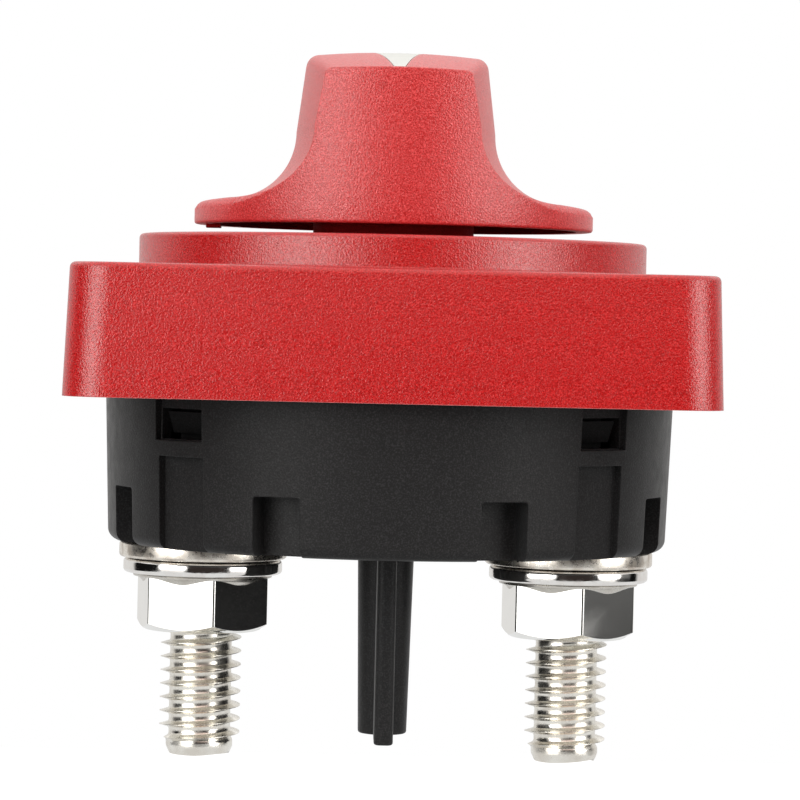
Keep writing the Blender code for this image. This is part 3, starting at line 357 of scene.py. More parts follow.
coverRed = makePlastic("coverRed", redFinish, (0.320, 0.0008, 0.0012), (0.570, 0.019, 0.020),
                       roughness=0.200, specular=0.70, edgeRadius=0.00016)
# Painted light: the knob's red is mixed paler than the cover's red, standing in for the stronger
# light that falls on the knob near the top
knobLitRed = makePlastic("knobLitRed", redFinish, (0.390, 0.0035, 0.0042), (0.680, 0.062, 0.064),
                      roughness=0.31, specular=0.70, edgeRadius=0.00030)
# Painted shade: a darker red with little gloss for the knob's underside, standing in for the shade
# in the gap under the knob
knobUnderShade = makePlastic("knobUnderShade", redFinish, (0.300, 0.0030, 0.0040), (0.420, 0.012, 0.014),
                        roughness=0.60, specular=0.05, edgeRadius=0.00010)
housingBlack = makeBlack("housingBlack", edgeRadius=0.00018)
# Painted shade: the carrier's black is darkened well below the housing's, standing in for the shade
# inside the snap windows
carrierShadeBlack = makeBlack("carrierShadeBlack", edgeRadius=0.00010, depth=0.36)
pointerWhite = makePlain("pointerWhite", (0.56, 0.58, 0.55), (0.54, 0.56, 0.53), (0.58, 0.60, 0.57),
                         roughness=0.38, mottleSize=0.0012, detail=2, edgeRadius=0.00008,
                         grain={"size": 0.00025, "strength": 0.3, "depth": 0.000006})
rotorGrey = makePlain("rotorGrey", (0.12, 0.12, 0.13), (0.10, 0.10, 0.11), (0.14, 0.14, 0.15),
                      roughness=0.5, mottleSize=0.0020, detail=3,
                      grain={"size": 0.00030, "strength": 0.4, "depth": 0.000012})
tinPlate = makeMetal("tinPlate", (0.88, 0.86, 0.80), (0.76, 0.72, 0.65),
                     roughness=(0.20, 0.33), mottleSize=0.0022, grainDepth=0.000006)
tinPad = makeMetal("tinPad", (0.84, 0.80, 0.73), (0.58, 0.52, 0.45),
                   roughness=(0.22, 0.38), mottleSize=0.0014, grainDepth=0.000012)
nutPlate = makeMetal("nutPlate", (0.90, 0.90, 0.88), (0.87, 0.87, 0.85),
                     roughness=(0.04, 0.08), mottleSize=0.0030, grainDepth=0.000001,
                     edgeRadius=0.00006)
# Painted shade: a darker, duller plating on the nut's collar, standing in for the shade under the
# washer
collarShadePlate = makeMetal("collarShadePlate", (0.66, 0.64, 0.60), (0.58, 0.55, 0.50),
                        roughness=(0.24, 0.34), mottleSize=0.0024, grainDepth=0.000002)
washerPlate = makeMetal("washerPlate", (0.86, 0.85, 0.83), (0.80, 0.77, 0.74),
                        roughness=(0.06, 0.14), mottleSize=0.0018, grainDepth=0.000003,
                        waveDepth=0.00005)
springSteel = makeMetal("springSteel", (0.56, 0.56, 0.58), (0.46, 0.46, 0.48),
                        roughness=(0.22, 0.36), mottleSize=0.0010, grainDepth=0.000003)
barCopper = makeMetal("barCopper", (0.80, 0.42, 0.28), (0.62, 0.30, 0.19),
                      roughness=(0.24, 0.38), mottleSize=0.0030, grainDepth=0.000004)
sealRubber = makePlain("sealRubber", (0.020, 0.020, 0.020), 0.015, 0.030,
                       roughness=0.7, mottleSize=0.0009, detail=3,
                       grain={"size": 0.00025, "strength": 0.5, "depth": 0.000015})
print("stage 2: finishes ready")


# Red cover: a drafted square block with a round raised platform on it

cover = {
    "side": 0.0720,
    "height": 0.0146,
    "draft": 2.2,  # how far the sides lean in
    "cornerRadius": 0.0050,
    "cornerSteps": 14,
    "topEdge": 0.0006,
    "wall": 0.0026,
    "wallSteps": 8,
    "roof": 0.0028,
    "platformRadius": 0.02965,
    "platformHeight": 0.0038,
    "platformEdge": 0.0005,
    "platformFoot": 0.0003,
    "footSteps": 4,
    "holeSpacing": 0.0560,
    "holeRadius": 0.0026,
    "counterboreRadius": 0.0046,
    "counterboreDepth": 0.0050,
    "holeEdge": 0.0003,
    "columnRadius": 0.0062,
    "cutBelow": 0.0030,  # how far the cutting shapes reach past the part
    "cutOver": 0.0010,
    "shaftHole": 0.0058,
    "bearingRadius": 0.0090,
    "bearingBottom": 0.0080,
    "innerHalf": 0.0334,
    "landInner": 0.03045,  # the flat ring over the gasket
    "landBottom": 0.0063,
    "screwCircle": 0.0240,
    "screwBoss": 0.0035,
    "screwBossBottom": 0.0025,
    "screwHole": 0.0018,
    "screwSteps": 24,
    "screwDepth": 0.0103,
    "sharpAngle": 28,
}


def buildCover():
    c = cover
    half, height = c["side"] / 2, c["height"]
    platformTop = height + c["platformHeight"]
    bm = bmesh.new()
    verts = addBox(bm, (-half, -half, 0), (half, half, height))
    topHalf = half - height * math.tan(math.radians(c["draft"]))
    bmesh.ops.scale(bm, vec=(topHalf / half, topHalf / half, 1),
                    verts=[v for v in verts if v.co.z > height / 2])
    roundEdges(bm, uprightEdges(verts), c["cornerRadius"], c["cornerSteps"])
    roundEdges(bm, [e for e in bm.edges if isFlat(e, height)], c["topEdge"], steps["edge"])
    obj = newObject("topCover", bm)

    radius, edge, foot = c["platformRadius"], c["platformEdge"], c["platformFoot"]
    ceiling = height - c["roof"]
    footArc = arcPoints((radius + foot, height + foot), foot, -90, -180, c["footSteps"])
    topArc = arcPoints((radius - edge, platformTop - edge), edge, 0, 90, steps["edge"])
    profile = [(0, ceiling), (radius + foot, ceiling), *footArc, *topArc, (0, platformTop)]
    carve(obj, spinProfile("platform", profile, steps["fine"]), "UNION")

    inner, below, over = c["innerHalf"], c["cutBelow"], c["cutOver"]
    bm = bmesh.new()
    verts = addBox(bm, (-inner, -inner, -over), (inner, inner, ceiling))
    roundEdges(bm, uprightEdges(verts), c["cornerRadius"] - c["wall"], c["wallSteps"])
    hollow = newObject("coverHollow", bm)
    room = radius - c["wall"]
    carve(hollow, spinProfile("platformHollow", [
        (0, ceiling / 2), (room, ceiling / 2), (room, platformTop - c["roof"]),
        (0, platformTop - c["roof"])], steps["medium"]), "UNION")
    bm = bmesh.new()
    for x, y in cornerPlaces(c["holeSpacing"]):
        addRod(bm, x, y, c["columnRadius"], -below, platformTop, steps["small"])
    place = c["screwCircle"] * math.sqrt(2)
    for x, y in cornerPlaces(place):
        addRod(bm, x, y, c["screwBoss"], c["screwBossBottom"], platformTop, steps["small"])
    addRod(bm, 0, 0, c["bearingRadius"], c["bearingBottom"], platformTop, steps["small"])
    carve(hollow, newObject("coverColumns", bm))
    carve(hollow, spinProfile("gasketLand", [
        (c["landInner"], c["landBottom"]), (inner + over, c["landBottom"]),
        (inner + over, platformTop), (c["landInner"], platformTop)], steps["medium"], closed=True))
    carve(obj, hollow)

    seat, lip, wide = height - c["counterboreDepth"], c["holeEdge"], c["counterboreRadius"]
    for x, y in cornerPlaces(c["holeSpacing"]):
        carve(obj, spinProfile("mountingHole", [
            (0, -below), (c["holeRadius"], -below), (c["holeRadius"], seat), (wide, seat),
            (wide, height - lip), (wide + 2 * lip, height + lip), (0, height + lip)],
            steps["small"], (x, y)))
    bm = bmesh.new()
    for x, y in cornerPlaces(place):
        addRod(bm, x, y, c["screwHole"], 0, c["screwDepth"], c["screwSteps"])
    addRod(bm, 0, 0, c["shaftHole"], 0, platformTop + over, steps["small"])
    carve(obj, newObject("coverBores", bm))
    finishPiece(obj, "switch_body", coverRed, "red_plastic", "top_cover", angle=c["sharpAngle"])


buildCover()
print("stage 3: cover")


# Red knob: a round flange with a tall bar across it, hollow below

knob = {
    "bottom": 0.0197,
    "crest": 0.0400,
    "radius": 0.0233,
    "rim": 0.0022,
    "rimEdge": 0.0003,
    "rimRounding": 0.0011,  # it grows from none at roundingFrom, measured across the bar
    "roundingFrom": 0.0130,
    "roundingFull": 0.0200,
    "cutTop": 1.05,  # of the crest's height
    "endDraft": 1.2,
    "endDrop": 0.0030,  # the crest falls towards the bar's ends
    "topCrown": 0.00045,
    "halfWidthTop": 0.01065,
    "halfWidthFoot": 0.0116,
    "footNarrowing": 0.0028,  # at the bar's ends
    "topNarrowing": 0.0028,
    "flareRadius": 0.0080,
    "flareFoot": 0.00285,
    "flareSteps": 24,
    "footSlope": 0.085,
    "topEdge": 0.0015,
    "topEdgeEnd": 0.0008,
    "topEdgeSteps": 8,
    "browHeight": 0.0011,  # above it the bar's ends lean in more
    "browLean": 7.0,
    "wall": 0.0026,
    "wallSteps": 8,
    "hollowInset": (0.5, 1.6),  # of the wall, at the bar's sides and ends
    "roof": 0.0053,
    "boss": 0.0078,
    "collarInner": 0.0058,
    "collarRadius": 0.0094,
    "collarBottom": 0.0187,
    "collarEdge": 0.0002,
    "skirtWall": 0.0018,
    "skirtDepth": 0.0012,
    "rib": 0.0018,
    "socketHalf": 0.0043,
    "socketDepth": 0.0106,
    "pilotRadius": 0.0021,
    "pilotSteps": 32,
    "pilotTop": 0.0350,
    "nubWidth": 0.0017,  # the small stop under the rim
    "nubDrop": 0.0004,
    "nubInset": 0.0014,
    "nubRoot": 0.0003,
    "cutOver": 0.0010,
    "skirtOver": 0.0005,
    "hollowOver": 0.0003,
    "stations": 150,
    "sweepReach": 1.08,  # of the radius
    "sweepWidth": 1.15,
    "sharpAngle": 30,
}

pointer = {
    "tip": 0.0226,
    "length": 0.0190,
    "tipWidth": 0.0012,
    "tailWidth": 0.0064,
    "bottom": 0.0361,
    "cutTop": 0.0440,
    "gap": 0.00010,
    "drop": 0.00002,
    "seatGap": 0.0003,
}


def rimDrop(x, y):
    k = knob
    share = min(1, max(0, (x - k["roundingFrom"]) / (k["roundingFull"] - k["roundingFrom"])))
    radius = k["rimRounding"] * share * share * (3 - 2 * share)
    inside = min(radius, max(0, k["radius"] - math.hypot(x, y)))
    return radius - math.sqrt(max(0, radius ** 2 - (radius - inside) ** 2))


def barSection(y, sink=0.0):
    k = knob
    share = (y / k["radius"]) ** 2
    crest = k["crest"] - k["endDrop"] * share - sink
    flareX = k["halfWidthFoot"] + k["flareRadius"] - k["footNarrowing"] * share
    flareZ = k["bottom"] + k["flareFoot"] + k["flareRadius"]
    outside, count = k["radius"] * k["sweepWidth"], k["flareSteps"]
    half = [(outside, k["bottom"] - k["cutOver"])]
    for step in range(count):
        x = outside + (flareX - outside) * step / count
        half.append((x, flareZ - k["flareRadius"] - (x - flareX) * k["footSlope"]))
    half += arcPoints((flareX, flareZ), k["flareRadius"], -90, -180, count)
    half = [half[0]] + [(x, z - rimDrop(x, y)) for x, z in half[1:]]
    edge = k["topEdge"] + (k["topEdgeEnd"] - k["topEdge"]) * min(1, share)
    shoulder = crest - k["topCrown"]
    lean = math.degrees(math.atan2(k["halfWidthFoot"] - k["halfWidthTop"], k["crest"] - flareZ))
    topHalf = k["halfWidthTop"] - k["topNarrowing"] * share
    half += arcPoints((topHalf - edge, shoulder - edge), edge, lean, 90, k["topEdgeSteps"])
    for part in (0.75, 0.5, 0.25):  # points on the crown
        half.append(((topHalf - edge) * part, crest - k["topCrown"] * part ** 2))
    half.append((0, crest))
    return half + [(-x, z) for x, z in reversed(half[:-1])]


def sweepBar(name, sink=0.0):
    count, reach = knob["stations"], knob["radius"] * knob["sweepReach"]
    bm = bmesh.new()
    spot = bm.verts.layers.int.new("spot")
    verts = [bm.verts.new((x, -reach, z)) for x, z in barSection(-reach, sink)]
    for number, vert in enumerate(verts):
        vert[spot] = number
    row = [bm.faces.new(verts)]
    for k in range(count):
        made = bmesh.ops.extrude_face_region(bm, geom=row)["geom"]
        row = [item for item in made if isinstance(item, bmesh.types.BMFace)]
        y = -reach + 2 * reach * (k + 1) / count
        section = barSection(y, sink)
        for vert in (item for item in made if isinstance(item, bmesh.types.BMVert)):
            x, z = section[vert[spot]]
            vert.co = (x, y, z)
    inside = [f for f in bm.faces if len(f.verts) > 4
              and reach - abs(f.calc_center_median().y) > sameHeight]
    bmesh.ops.delete(bm, geom=inside, context="FACES_ONLY")
    bmesh.ops.recalc_face_normals(bm, faces=bm.faces)
    return newObject(name, bm)


def pointerBlock(name, grow, bottom):
    p = pointer
    tip, tail = -p["tip"] - grow, -p["tip"] + p["length"] + grow
    bm = bmesh.new()
    half = p["tailWidth"] / 2 + grow
    verts = addBox(bm, (-half, tip, bottom), (half, tail, p["cutTop"]))
    narrow = (p["tipWidth"] / 2 + grow) / half
    bmesh.ops.scale(bm, vec=(narrow, 1, 1), verts=[v for v in verts if v.co.y < (tip + tail) / 2])
    return newObject(name, bm)


def buildKnob():
    k = knob
    obj = sweepBar("knobBody")
    top, rimTop = k["crest"] * k["cutTop"], k["bottom"] + k["rim"]
    taper = (top - rimTop) * math.tan(math.radians(k["endDraft"]))
    skirtTop = k["bottom"] + k["skirtDepth"]
    lower = arcPoints((k["radius"] - k["rimEdge"], k["bottom"] + k["rimEdge"]), k["rimEdge"],
                      -90, 0, steps["edge"])
    brow = k["crest"] - k["endDrop"] - k["browHeight"]
    browRadius = k["radius"] - taper * (brow - rimTop) / (top - rimTop)
    over = (top - brow) * math.tan(math.radians(k["browLean"]))
    carve(obj, spinProfile("knobRound", [
        (0, k["bottom"]), *lower, (k["radius"], rimTop), (browRadius, brow),
        (browRadius - over, top), (0, top)], steps["fine"]), "INTERSECT")

    bm = bmesh.new()
    sideShare, endShare = k["hollowInset"]
    halfWidth = k["halfWidthTop"] - k["topNarrowing"] - k["wall"] * sideShare
    halfLength = k["radius"] - k["wall"] * endShare
    verts = addBox(bm, (-halfWidth, -halfLength, k["bottom"] - k["hollowOver"]),
                   (halfWidth, halfLength, k["crest"] - k["roof"]))
    roundEdges(bm, uprightEdges(verts), k["wall"], k["wallSteps"])
    hollow = newObject("knobHollow", bm)
    bm = bmesh.new()
    addRod(bm, 0, 0, k["boss"], k["bottom"] - k["cutOver"], k["crest"], steps["medium"])
    carve(hollow, newObject("knobBoss", bm))
    bm = bmesh.new()
    addBox(bm, (-k["rib"] / 2, -k["radius"], rimTop), (k["rib"] / 2, k["radius"], k["crest"]))
    carve(hollow, newObject("knobRib", bm))
    carve(obj, hollow)
    collar, foot, edge = k["collarRadius"], k["collarBottom"], k["collarEdge"]
    carve(obj, spinProfile("knobCollar", [
        (k["collarInner"], foot), (collar - edge, foot), (collar, foot + edge), (collar, rimTop),
        (k["collarInner"], rimTop)], steps["medium"], closed=True), "UNION")
    bevel, skirt, foot = k["rimEdge"], k["radius"] - k["skirtWall"], k["bottom"] - k["skirtOver"]
    carve(obj, spinProfile("knobSkirt", [
        (collar, foot), (skirt, foot), (skirt - bevel, skirtTop - bevel),
        (skirt - 2 * bevel, skirtTop), (collar, skirtTop)], steps["fine"], closed=True))

    bm = bmesh.new()
    half, socketTop = k["socketHalf"], k["bottom"] + k["socketDepth"]
    addBox(bm, (-half, -half, k["bottom"] - k["cutOver"]), (half, half, socketTop))
    addRod(bm, 0, 0, k["pilotRadius"], socketTop - k["skirtOver"], k["pilotTop"], k["pilotSteps"])
    carve(obj, newObject("knobSocket", bm))
    carve(obj, pointerBlock("pointerPocket", pointer["gap"], pointer["bottom"]))
    bm = bmesh.new()
    near = -k["radius"] + k["nubInset"]
    addBox(bm, (near, -k["nubWidth"], k["bottom"] - k["nubDrop"]),
           (near + k["nubWidth"], k["nubWidth"], skirtTop + k["nubRoot"]))
    carve(obj, newObject("knobNub", bm), "UNION")
    finishPiece(obj, "turning_group", knobLitRed, "red_plastic", "knob", angle=k["sharpAngle"])
    # Painted shade: the faces under the knob's skirt get the darker red
    paintFaces(obj, knobUnderShade, lambda face: face.center.z < skirtTop + sameHeight
               and fromAxis(face) < skirt + sameHeight)

    inlay = pointerBlock("pointerInlay", 0.0, pointer["bottom"] + pointer["seatGap"])
    carve(inlay, sweepBar("pointerFace", pointer["drop"]), "INTERSECT")
    finishPiece(inlay, "turning_group", pointerWhite, "white_plastic", "pointer_inlay",
                angle=k["sharpAngle"])


buildKnob()
print("stage 4: knob and pointer")


# Black rear housing: turned, with rim notches, snap windows and a divider

housing = {
    "radius": 0.03315,
    "draft": 1.86,
    "depth": 0.0172,
    "wall": 0.0024,
    "floor": 0.0026,
    "bottomEdge": 0.0013,
    "bottomSteps": 8,
    "collarRadius": 0.0330,
    "collarStep": 0.0003,
    "collarHeight": 0.0050,
    "cavityTop": 0.0062,
    "notchCount": 8,
    "notchWidth": 0.0056,
    "notchHeight": 0.0066,
    "notchDepth": 0.0033,
    "notchBacking": 0.0013,  # wall behind the notches
    "notchCorner": 0.0004,
    "windowWidth": 0.0077,
    "windowTurn": 1.1,  # how far the windows sit off the diagonals
    "windowTop": 0.0014,
    "windowBottom": 0.00495,
    "windowStep": 0.00015,
    "windowInner": 0.95,  # of the inner radius
    "recess": 0.0012,
    "recessTop": 0.0100,
    "panelWidth": 0.00725,
    "panelTurn": 0.4,
    "panelTop": 0.0067,
    "contactTop": -0.0121,
    "contactRadius": 0.0080,
    "padHalf": 0.0053,
    "neckHole": 0.0058,
    "socket": 0.0025,
    "socketWall": 0.0024,
    "socketTop": -0.0132,
    "cutReach": 1.1,  # of the radius
    "cutDepth": (1.1, 1.2),  # of the depth, for holes and for notches
    "sharpAngle": 28,
}

divider = {
    "length": 0.0300,
    "drop": 0.0222,
    "rootThickness": 0.0034,
    "endThickness": 0.0022,
    "corner": 0.0008,
    "cornerSteps": 6,
    "endEdge": 0.0003,
    "endSteps": 4,
    "bossRoot": 0.00335,
    "bossEnd": 0.00285,
    "bossOver": 0.0001,
    "bossSteps": 64,
}


def housingAngles(count):
    return [(k + 0.5) * 2 * math.pi / count for k in range(count)]


def sideAngles(turn):
    return [angle - math.copysign(math.radians(turn), math.sin(2 * angle))
            for angle in housingAngles(4)]


def buildHousing():
    h = housing
    depth, edge = h["depth"], h["bottomEdge"]
    slope = math.tan(math.radians(h["draft"]))
    lowRadius = h["radius"] - depth * slope
    inner, floorTop = h["radius"] - h["wall"], h["floor"] - depth
    corner = arcPoints((lowRadius - edge, edge - depth), edge, -90, 0, h["bottomSteps"])
    obj = spinProfile("rearHousing", [
        (0, -depth), *corner, (h["radius"], 0), (h["collarRadius"], h["collarStep"]),
        (h["collarRadius"], h["collarHeight"]), (0, h["collarHeight"])], steps["fine"])

    cavity = spinProfile("housingHollow", [
        (0, floorTop), (inner, floorTop), (inner, h["cavityTop"]), (0, h["cavityTop"])],
        steps["medium"])
    bm = bmesh.new()
    backing = h["notchBacking"]
    for angle in housingAngles(h["notchCount"]):
        half = h["notchWidth"] / 2 + backing
        addBox(bm, (lowRadius - h["notchDepth"] - backing, -half, -depth),
               (h["radius"], half, h["notchHeight"] + backing - depth), angle)
    for side in (1, -1):
        x, half, reach = side * studX, h["padHalf"], h["contactRadius"] / 2
        addBox(bm, (-half, x - reach, -depth), (half, x + reach, h["contactTop"]))
    carve(cavity, newObject("housingBosses", bm))
    outer = h["socket"] + h["socketWall"]
    carve(cavity, spinProfile("pivotBoss", [
        (h["socket"], -depth), (outer, -depth), (outer, h["socketTop"]),
        (h["socket"], h["socketTop"])], steps["small"], closed=True))
    carve(obj, cavity)

    bm = bmesh.new()
    reach = h["radius"] * h["cutReach"]
    holeLow, notchLow = (-depth * share for share in h["cutDepth"])
    for angle in housingAngles(h["notchCount"]):
        half, top = h["notchWidth"] / 2, h["notchHeight"] - depth
        verts = addBox(bm, (lowRadius - h["notchDepth"], -half, notchLow),
                       (reach, half, top), angle)
        way = Vector((math.cos(angle), math.sin(angle), 0))
        edges = [e for e in edgesAlong(verts, way) if isFlat(e, top)]
        roundEdges(bm, edges, h["notchCorner"], steps["edge"])
    for angle in sideAngles(h["panelTurn"]):
        half = h["panelWidth"] / 2
        verts = addBox(bm, (lowRadius - h["recess"], -half, notchLow),
                       (reach, half, -h["panelTop"]), angle)
        lean = Vector((math.cos(angle), math.sin(angle), 0)) * (depth - h["panelTop"]) * slope
        bmesh.ops.translate(bm, vec=lean, verts=[v for v in verts if v.co.z > -depth])
    for angle in sideAngles(h["windowTurn"]):
        half = h["windowWidth"] / 2
        addBox(bm, (h["radius"] - h["recess"], -half, -h["windowBottom"]),
               (reach, half, h["recessTop"]), angle)
    carve(obj, newObject("housingCuts", bm))
    bm = bmesh.new()
    for angle in sideAngles(h["windowTurn"]):
        half = h["windowWidth"] / 2 - h["windowStep"]
        addBox(bm, (inner * h["windowInner"], -half, h["windowStep"] - h["windowBottom"]),
               (reach, half, -h["windowTop"]), angle)
    for side in (1, -1):
        addRod(bm, side * studX, 0, h["neckHole"], holeLow, 0, steps["small"])
    carve(obj, newObject("housingHoles", bm))

    d = divider
    root, end, half = h["floor"] / 2 - depth, -depth - d["drop"], d["length"] / 2
    bm = bmesh.new()
    verts = addBox(bm, (-d["rootThickness"] / 2, -half, end), (d["rootThickness"] / 2, half, root))
    bmesh.ops.scale(bm, vec=(d["endThickness"] / d["rootThickness"], 1 - d["corner"] / half, 1),
                    verts=[v for v in verts if v.co.z < root])
    roundEdges(bm, uprightEdges(verts), d["corner"], d["cornerSteps"])
    roundEdges(bm, [e for e in bm.edges if isFlat(e, end)], d["endEdge"], d["endSteps"])
    fin = newObject("dividerPlate", bm)
    bm = bmesh.new()
    over = d["bossOver"]
    addRod(bm, 0, 0, d["bossEnd"], end - over, root + over, d["bossSteps"], d["bossRoot"])
    roundEdges(bm, [e for e in bm.edges if isFlat(e, end - over)], d["endEdge"], d["endSteps"])
    carve(fin, newObject("dividerBoss", bm), "UNION")
    carve(obj, fin, "UNION")
    finishPiece(obj, "switch_body", housingBlack, "black_plastic", "rear_housing",
                angle=h["sharpAngle"])


buildHousing()
print("stage 5: housing")


# Terminals: threaded studs with their pads, washers and nuts

stud = {
    "radius": 0.00472,
    "pitch": 0.0015875,
    "threadDepth": 0.00112,
    "rootShare": 0.56,
    "crestShare": 0.05,
    "rootRounding": (0.55, 0.93),  # the tooth's outline, as shares of root, crest and depth
    "crestRounding": (1.25, 0.07),
    "crestFlat": 0.8,
    "threadStart": {"left": 0.50, "right": 0.56},
    "threadLead": 1.5,
    "spareTurns": 4,
    "threadOver": 0.0002,
    "turnSteps": 96,
    "mergeDistance": 2e-6,
    "cutDistance": 1e-8,
    "end": -0.0423,
    "leadLength": 0.0019,
    "leadBlend": 0.0004,  # the thread runs out over it
    "leadRadius": 0.0039,
    "tipRadius": 0.0035,
    "tipLength": 0.0009,
    "padRadius": 0.0098,
    "padTop": -0.0175,
    "padBottom": -0.0193,
    "padEdge": 0.00035,
    "neck": 0.0055,
    "rivet": 0.0042,
    "rivetFlare": 0.0010,
    "rivetTop": -0.0124,
    "floorTop": -0.0146,
    "sharpAngle": 50,
}

washer = {"radius": 0.0093, "hole": 0.0051, "top": -0.01945, "thickness": 0.00165, "edge": 0.00045}

nut = {
    "flats": 0.0141,
    "height": 0.0065,
    "top": -0.02125,
    "turn": {"left": 11.8, "right": 9.0},
    "bore": 0.00478,
    "countersink": 0.0009,
    "countersinkDrop": 0.7,  # of the countersink's width
    "cornerEdge": 0.00018,
    "faceRadius": 0.0066,
    "faceEdge": 0.0003,
    "faceStep": (0.6, 0.4),  # of faceEdge, in and up
    "chamferAngle": 30,
    "chamferOver": 0.0003,
    "collarRadius": 0.00815,
    "collarHeight": 0.00075,
    "collarFoot": 0.0013,  # the fillet below the collar
    "collarLift": 0.00004,
    "collarEdge": (0.00010, 0.00006),  # in and down
    "collarBand": (0.00005, 0.00025),
    "collarSteps": 9,
    "collarSlope": 0.02,  # least slope of a face in the collar's darker plating, which is painted shade
    "cutOver": 0.0010,
    "sharpAngle": 22,
}


def threadPart(bm, x, top, start):
    s = stud
    pitch, depth = s["pitch"], s["threadDepth"]
    crest, root = s["crestShare"] * pitch / 2, s["rootShare"] * pitch / 2
    (rootIn, rootDepth), (crestOut, crestDepth) = s["rootRounding"], s["crestRounding"]
    half = [(-pitch / 2 + root * rootIn, -depth), (-pitch / 2 + root, -depth * rootDepth),
            (-crest * crestOut, -depth * crestDepth), (-crest * s["crestFlat"], 0)]
    tooth = [(-pitch / 2, -depth), *half, *((-z, out) for z, out in reversed(half))]
    line = []
    for k in range(int((top - s["end"]) / pitch) + s["spareTurns"]):
        middle = top + pitch * (s["threadLead"] + start - k)
        line += [bm.verts.new((x + s["radius"] + out, 0, middle - z)) for z, out in tooth]
    edges = [bm.edges.new(pair) for pair in zip(line, line[1:])]
    bmesh.ops.spin(bm, geom=line + edges, cent=(x, 0, 0), axis=(0, 0, 1), angle=2 * math.pi,
                   dvec=(0, 0, pitch / s["turnSteps"]), steps=s["turnSteps"])
    bmesh.ops.remove_doubles(bm, verts=bm.verts, dist=s["mergeDistance"])
    for height, away in ((top, 1), (s["end"], -1)):
        bmesh.ops.bisect_plane(bm, geom=[*bm.verts, *bm.edges, *bm.faces], plane_co=(0, 0, height),
                               plane_no=(0, 0, away), dist=s["cutDistance"], clear_outer=True)
    leadTop = s["leadLength"] + s["leadBlend"] / 2
    for vert in bm.verts:
        out = Vector((vert.co.x - x, vert.co.y))
        rise = vert.co.z - s["end"]
        lead = s["tipRadius"] + (s["leadRadius"] - s["tipRadius"]) * min(1, rise / s["tipLength"])
        share = min(1, max(0, (leadTop - rise) / s["leadBlend"]))
        out *= 1 + (lead / out.length - 1) * share
        vert.co.x, vert.co.y = x + out.x, out.y


def discRim(radius, edge, bottom, top):
    lower = arcPoints((radius - edge, bottom + edge), edge, -90, 0, steps["edge"])
    return lower + arcPoints((radius - edge, top - edge), edge, 0, 90, steps["edge"])


def buildStud(side, x):
    s = stud
    bm = bmesh.new()
    threadPart(bm, x, s["padBottom"] + s["threadOver"], s["threadStart"][side])
    bmesh.ops.holes_fill(bm, edges=[e for e in bm.edges if e.is_boundary], sides=0)
    bmesh.ops.recalc_face_normals(bm, faces=bm.faces)
    obj = newObject("terminalStud." + side, bm)
    carve(obj, spinProfile("pad", [
        (0, s["padBottom"]), *discRim(s["padRadius"], s["padEdge"], s["padBottom"], s["padTop"]),
        (s["neck"], s["padTop"]), (s["neck"], s["floorTop"]), (s["rivet"], s["floorTop"]),
        (s["rivet"], s["rivetTop"] - s["rivetFlare"]),
        (s["rivet"] + s["rivetFlare"], s["rivetTop"]), (0, s["rivetTop"])],
        steps["medium"], (x, 0)), "UNION")
    finishPiece(obj, "switch_body", tinPlate, "tinned_metal", "terminal_stud_" + side,
                angle=s["sharpAngle"])
    paintFaces(obj, tinPad, lambda face: fromAxis(face, x) > s["neck"])


def buildWasher(side, x):
    w = washer
    bottom = w["top"] - w["thickness"]
    profile = [(w["hole"], bottom), *discRim(w["radius"], w["edge"], bottom, w["top"]),
               (w["hole"], w["top"])]
    obj = spinProfile("flatWasher." + side, profile, steps["medium"], (x, 0), closed=True)
    finishPiece(obj, "switch_body", washerPlate, "plated_steel", "flat_washer_" + side)


def buildNut(side, x):
    n = nut
    corner, top = n["flats"] / math.sqrt(3), n["top"]
    bottom, middle = top - n["height"], top - n["height"] / 2
    bm = bmesh.new()
    turn = Matrix.Rotation(math.radians(n["turn"][side]), 4, "Z")
    verts = bmesh.ops.create_cone(bm, cap_ends=True, segments=6, radius1=corner, radius2=corner,
                                  depth=n["height"],
                                  matrix=Matrix.Translation((x, 0, middle)) @ turn)["verts"]
    roundEdges(bm, uprightEdges(verts), n["cornerEdge"], steps["edge"])
    obj = newObject("hexNut." + side, bm)
    flat, edge, wide = n["flats"] / 2, n["faceEdge"], corner + n["chamferOver"]
    rise = (wide - flat) * math.tan(math.radians(n["chamferAngle"]))
    inward, upward = n["faceStep"]
    carve(obj, spinProfile("nutRound", [
        (0, bottom), (n["faceRadius"], bottom), (flat - edge * inward, bottom + edge * upward),
        (flat, bottom + edge), (wide, bottom + edge + rise), (wide, top), (0, top)],
        steps["medium"], (x, 0)), "INTERSECT")

    reach, lift = n["collarRadius"], top + n["collarLift"]
    low, near = top - n["collarHeight"] - n["collarFoot"], flat - edge
    (edgeIn, edgeDown), (bandIn, bandDown) = n["collarEdge"], n["collarBand"]
    wideSpan, highSpan = reach - bandIn - near, top - bandDown - low
    turns = [math.radians(90 * k / n["collarSteps"]) for k in reversed(range(n["collarSteps"]))]
    fillet = [(near + wideSpan * (1 - math.cos(a)), low + highSpan * math.sin(a)) for a in turns]
    carve(obj, spinProfile("nutCollar", [
        (0, lift), (reach - edgeIn, lift), (reach, top - edgeDown),
        (reach - bandIn, top - bandDown), *fillet, (0, low)], steps["medium"], (x, 0)), "UNION")

    bore, sunk, over = n["bore"], n["bore"] + n["countersink"], n["cutOver"]
    drop = n["countersink"] * n["countersinkDrop"]
    carve(obj, spinProfile("nutBore", [
        (0, bottom - over), (sunk, bottom - over), (sunk, bottom), (bore, bottom + drop),
        (bore, top - drop), (sunk, top), (sunk, top + over), (0, top + over)],
        steps["medium"], (x, 0)))
    finishPiece(obj, "switch_body", nutPlate, "plated_steel", "hex_nut_" + side,
                angle=n["sharpAngle"])
    # Painted shade: the collar's faces get the darker plating
    paintFaces(obj, collarShadePlate, lambda face: face.center.z > low
               and abs(face.normal.z) > n["collarSlope"] and fromAxis(face, x) > near)


for side, x in (("left", -studX), ("right", studX)):
    buildStud(side, x)
    buildWasher(side, x)
    buildNut(side, x)
print("stage 6: terminals")


# Inner pieces keep their CAD shape and get their finishes

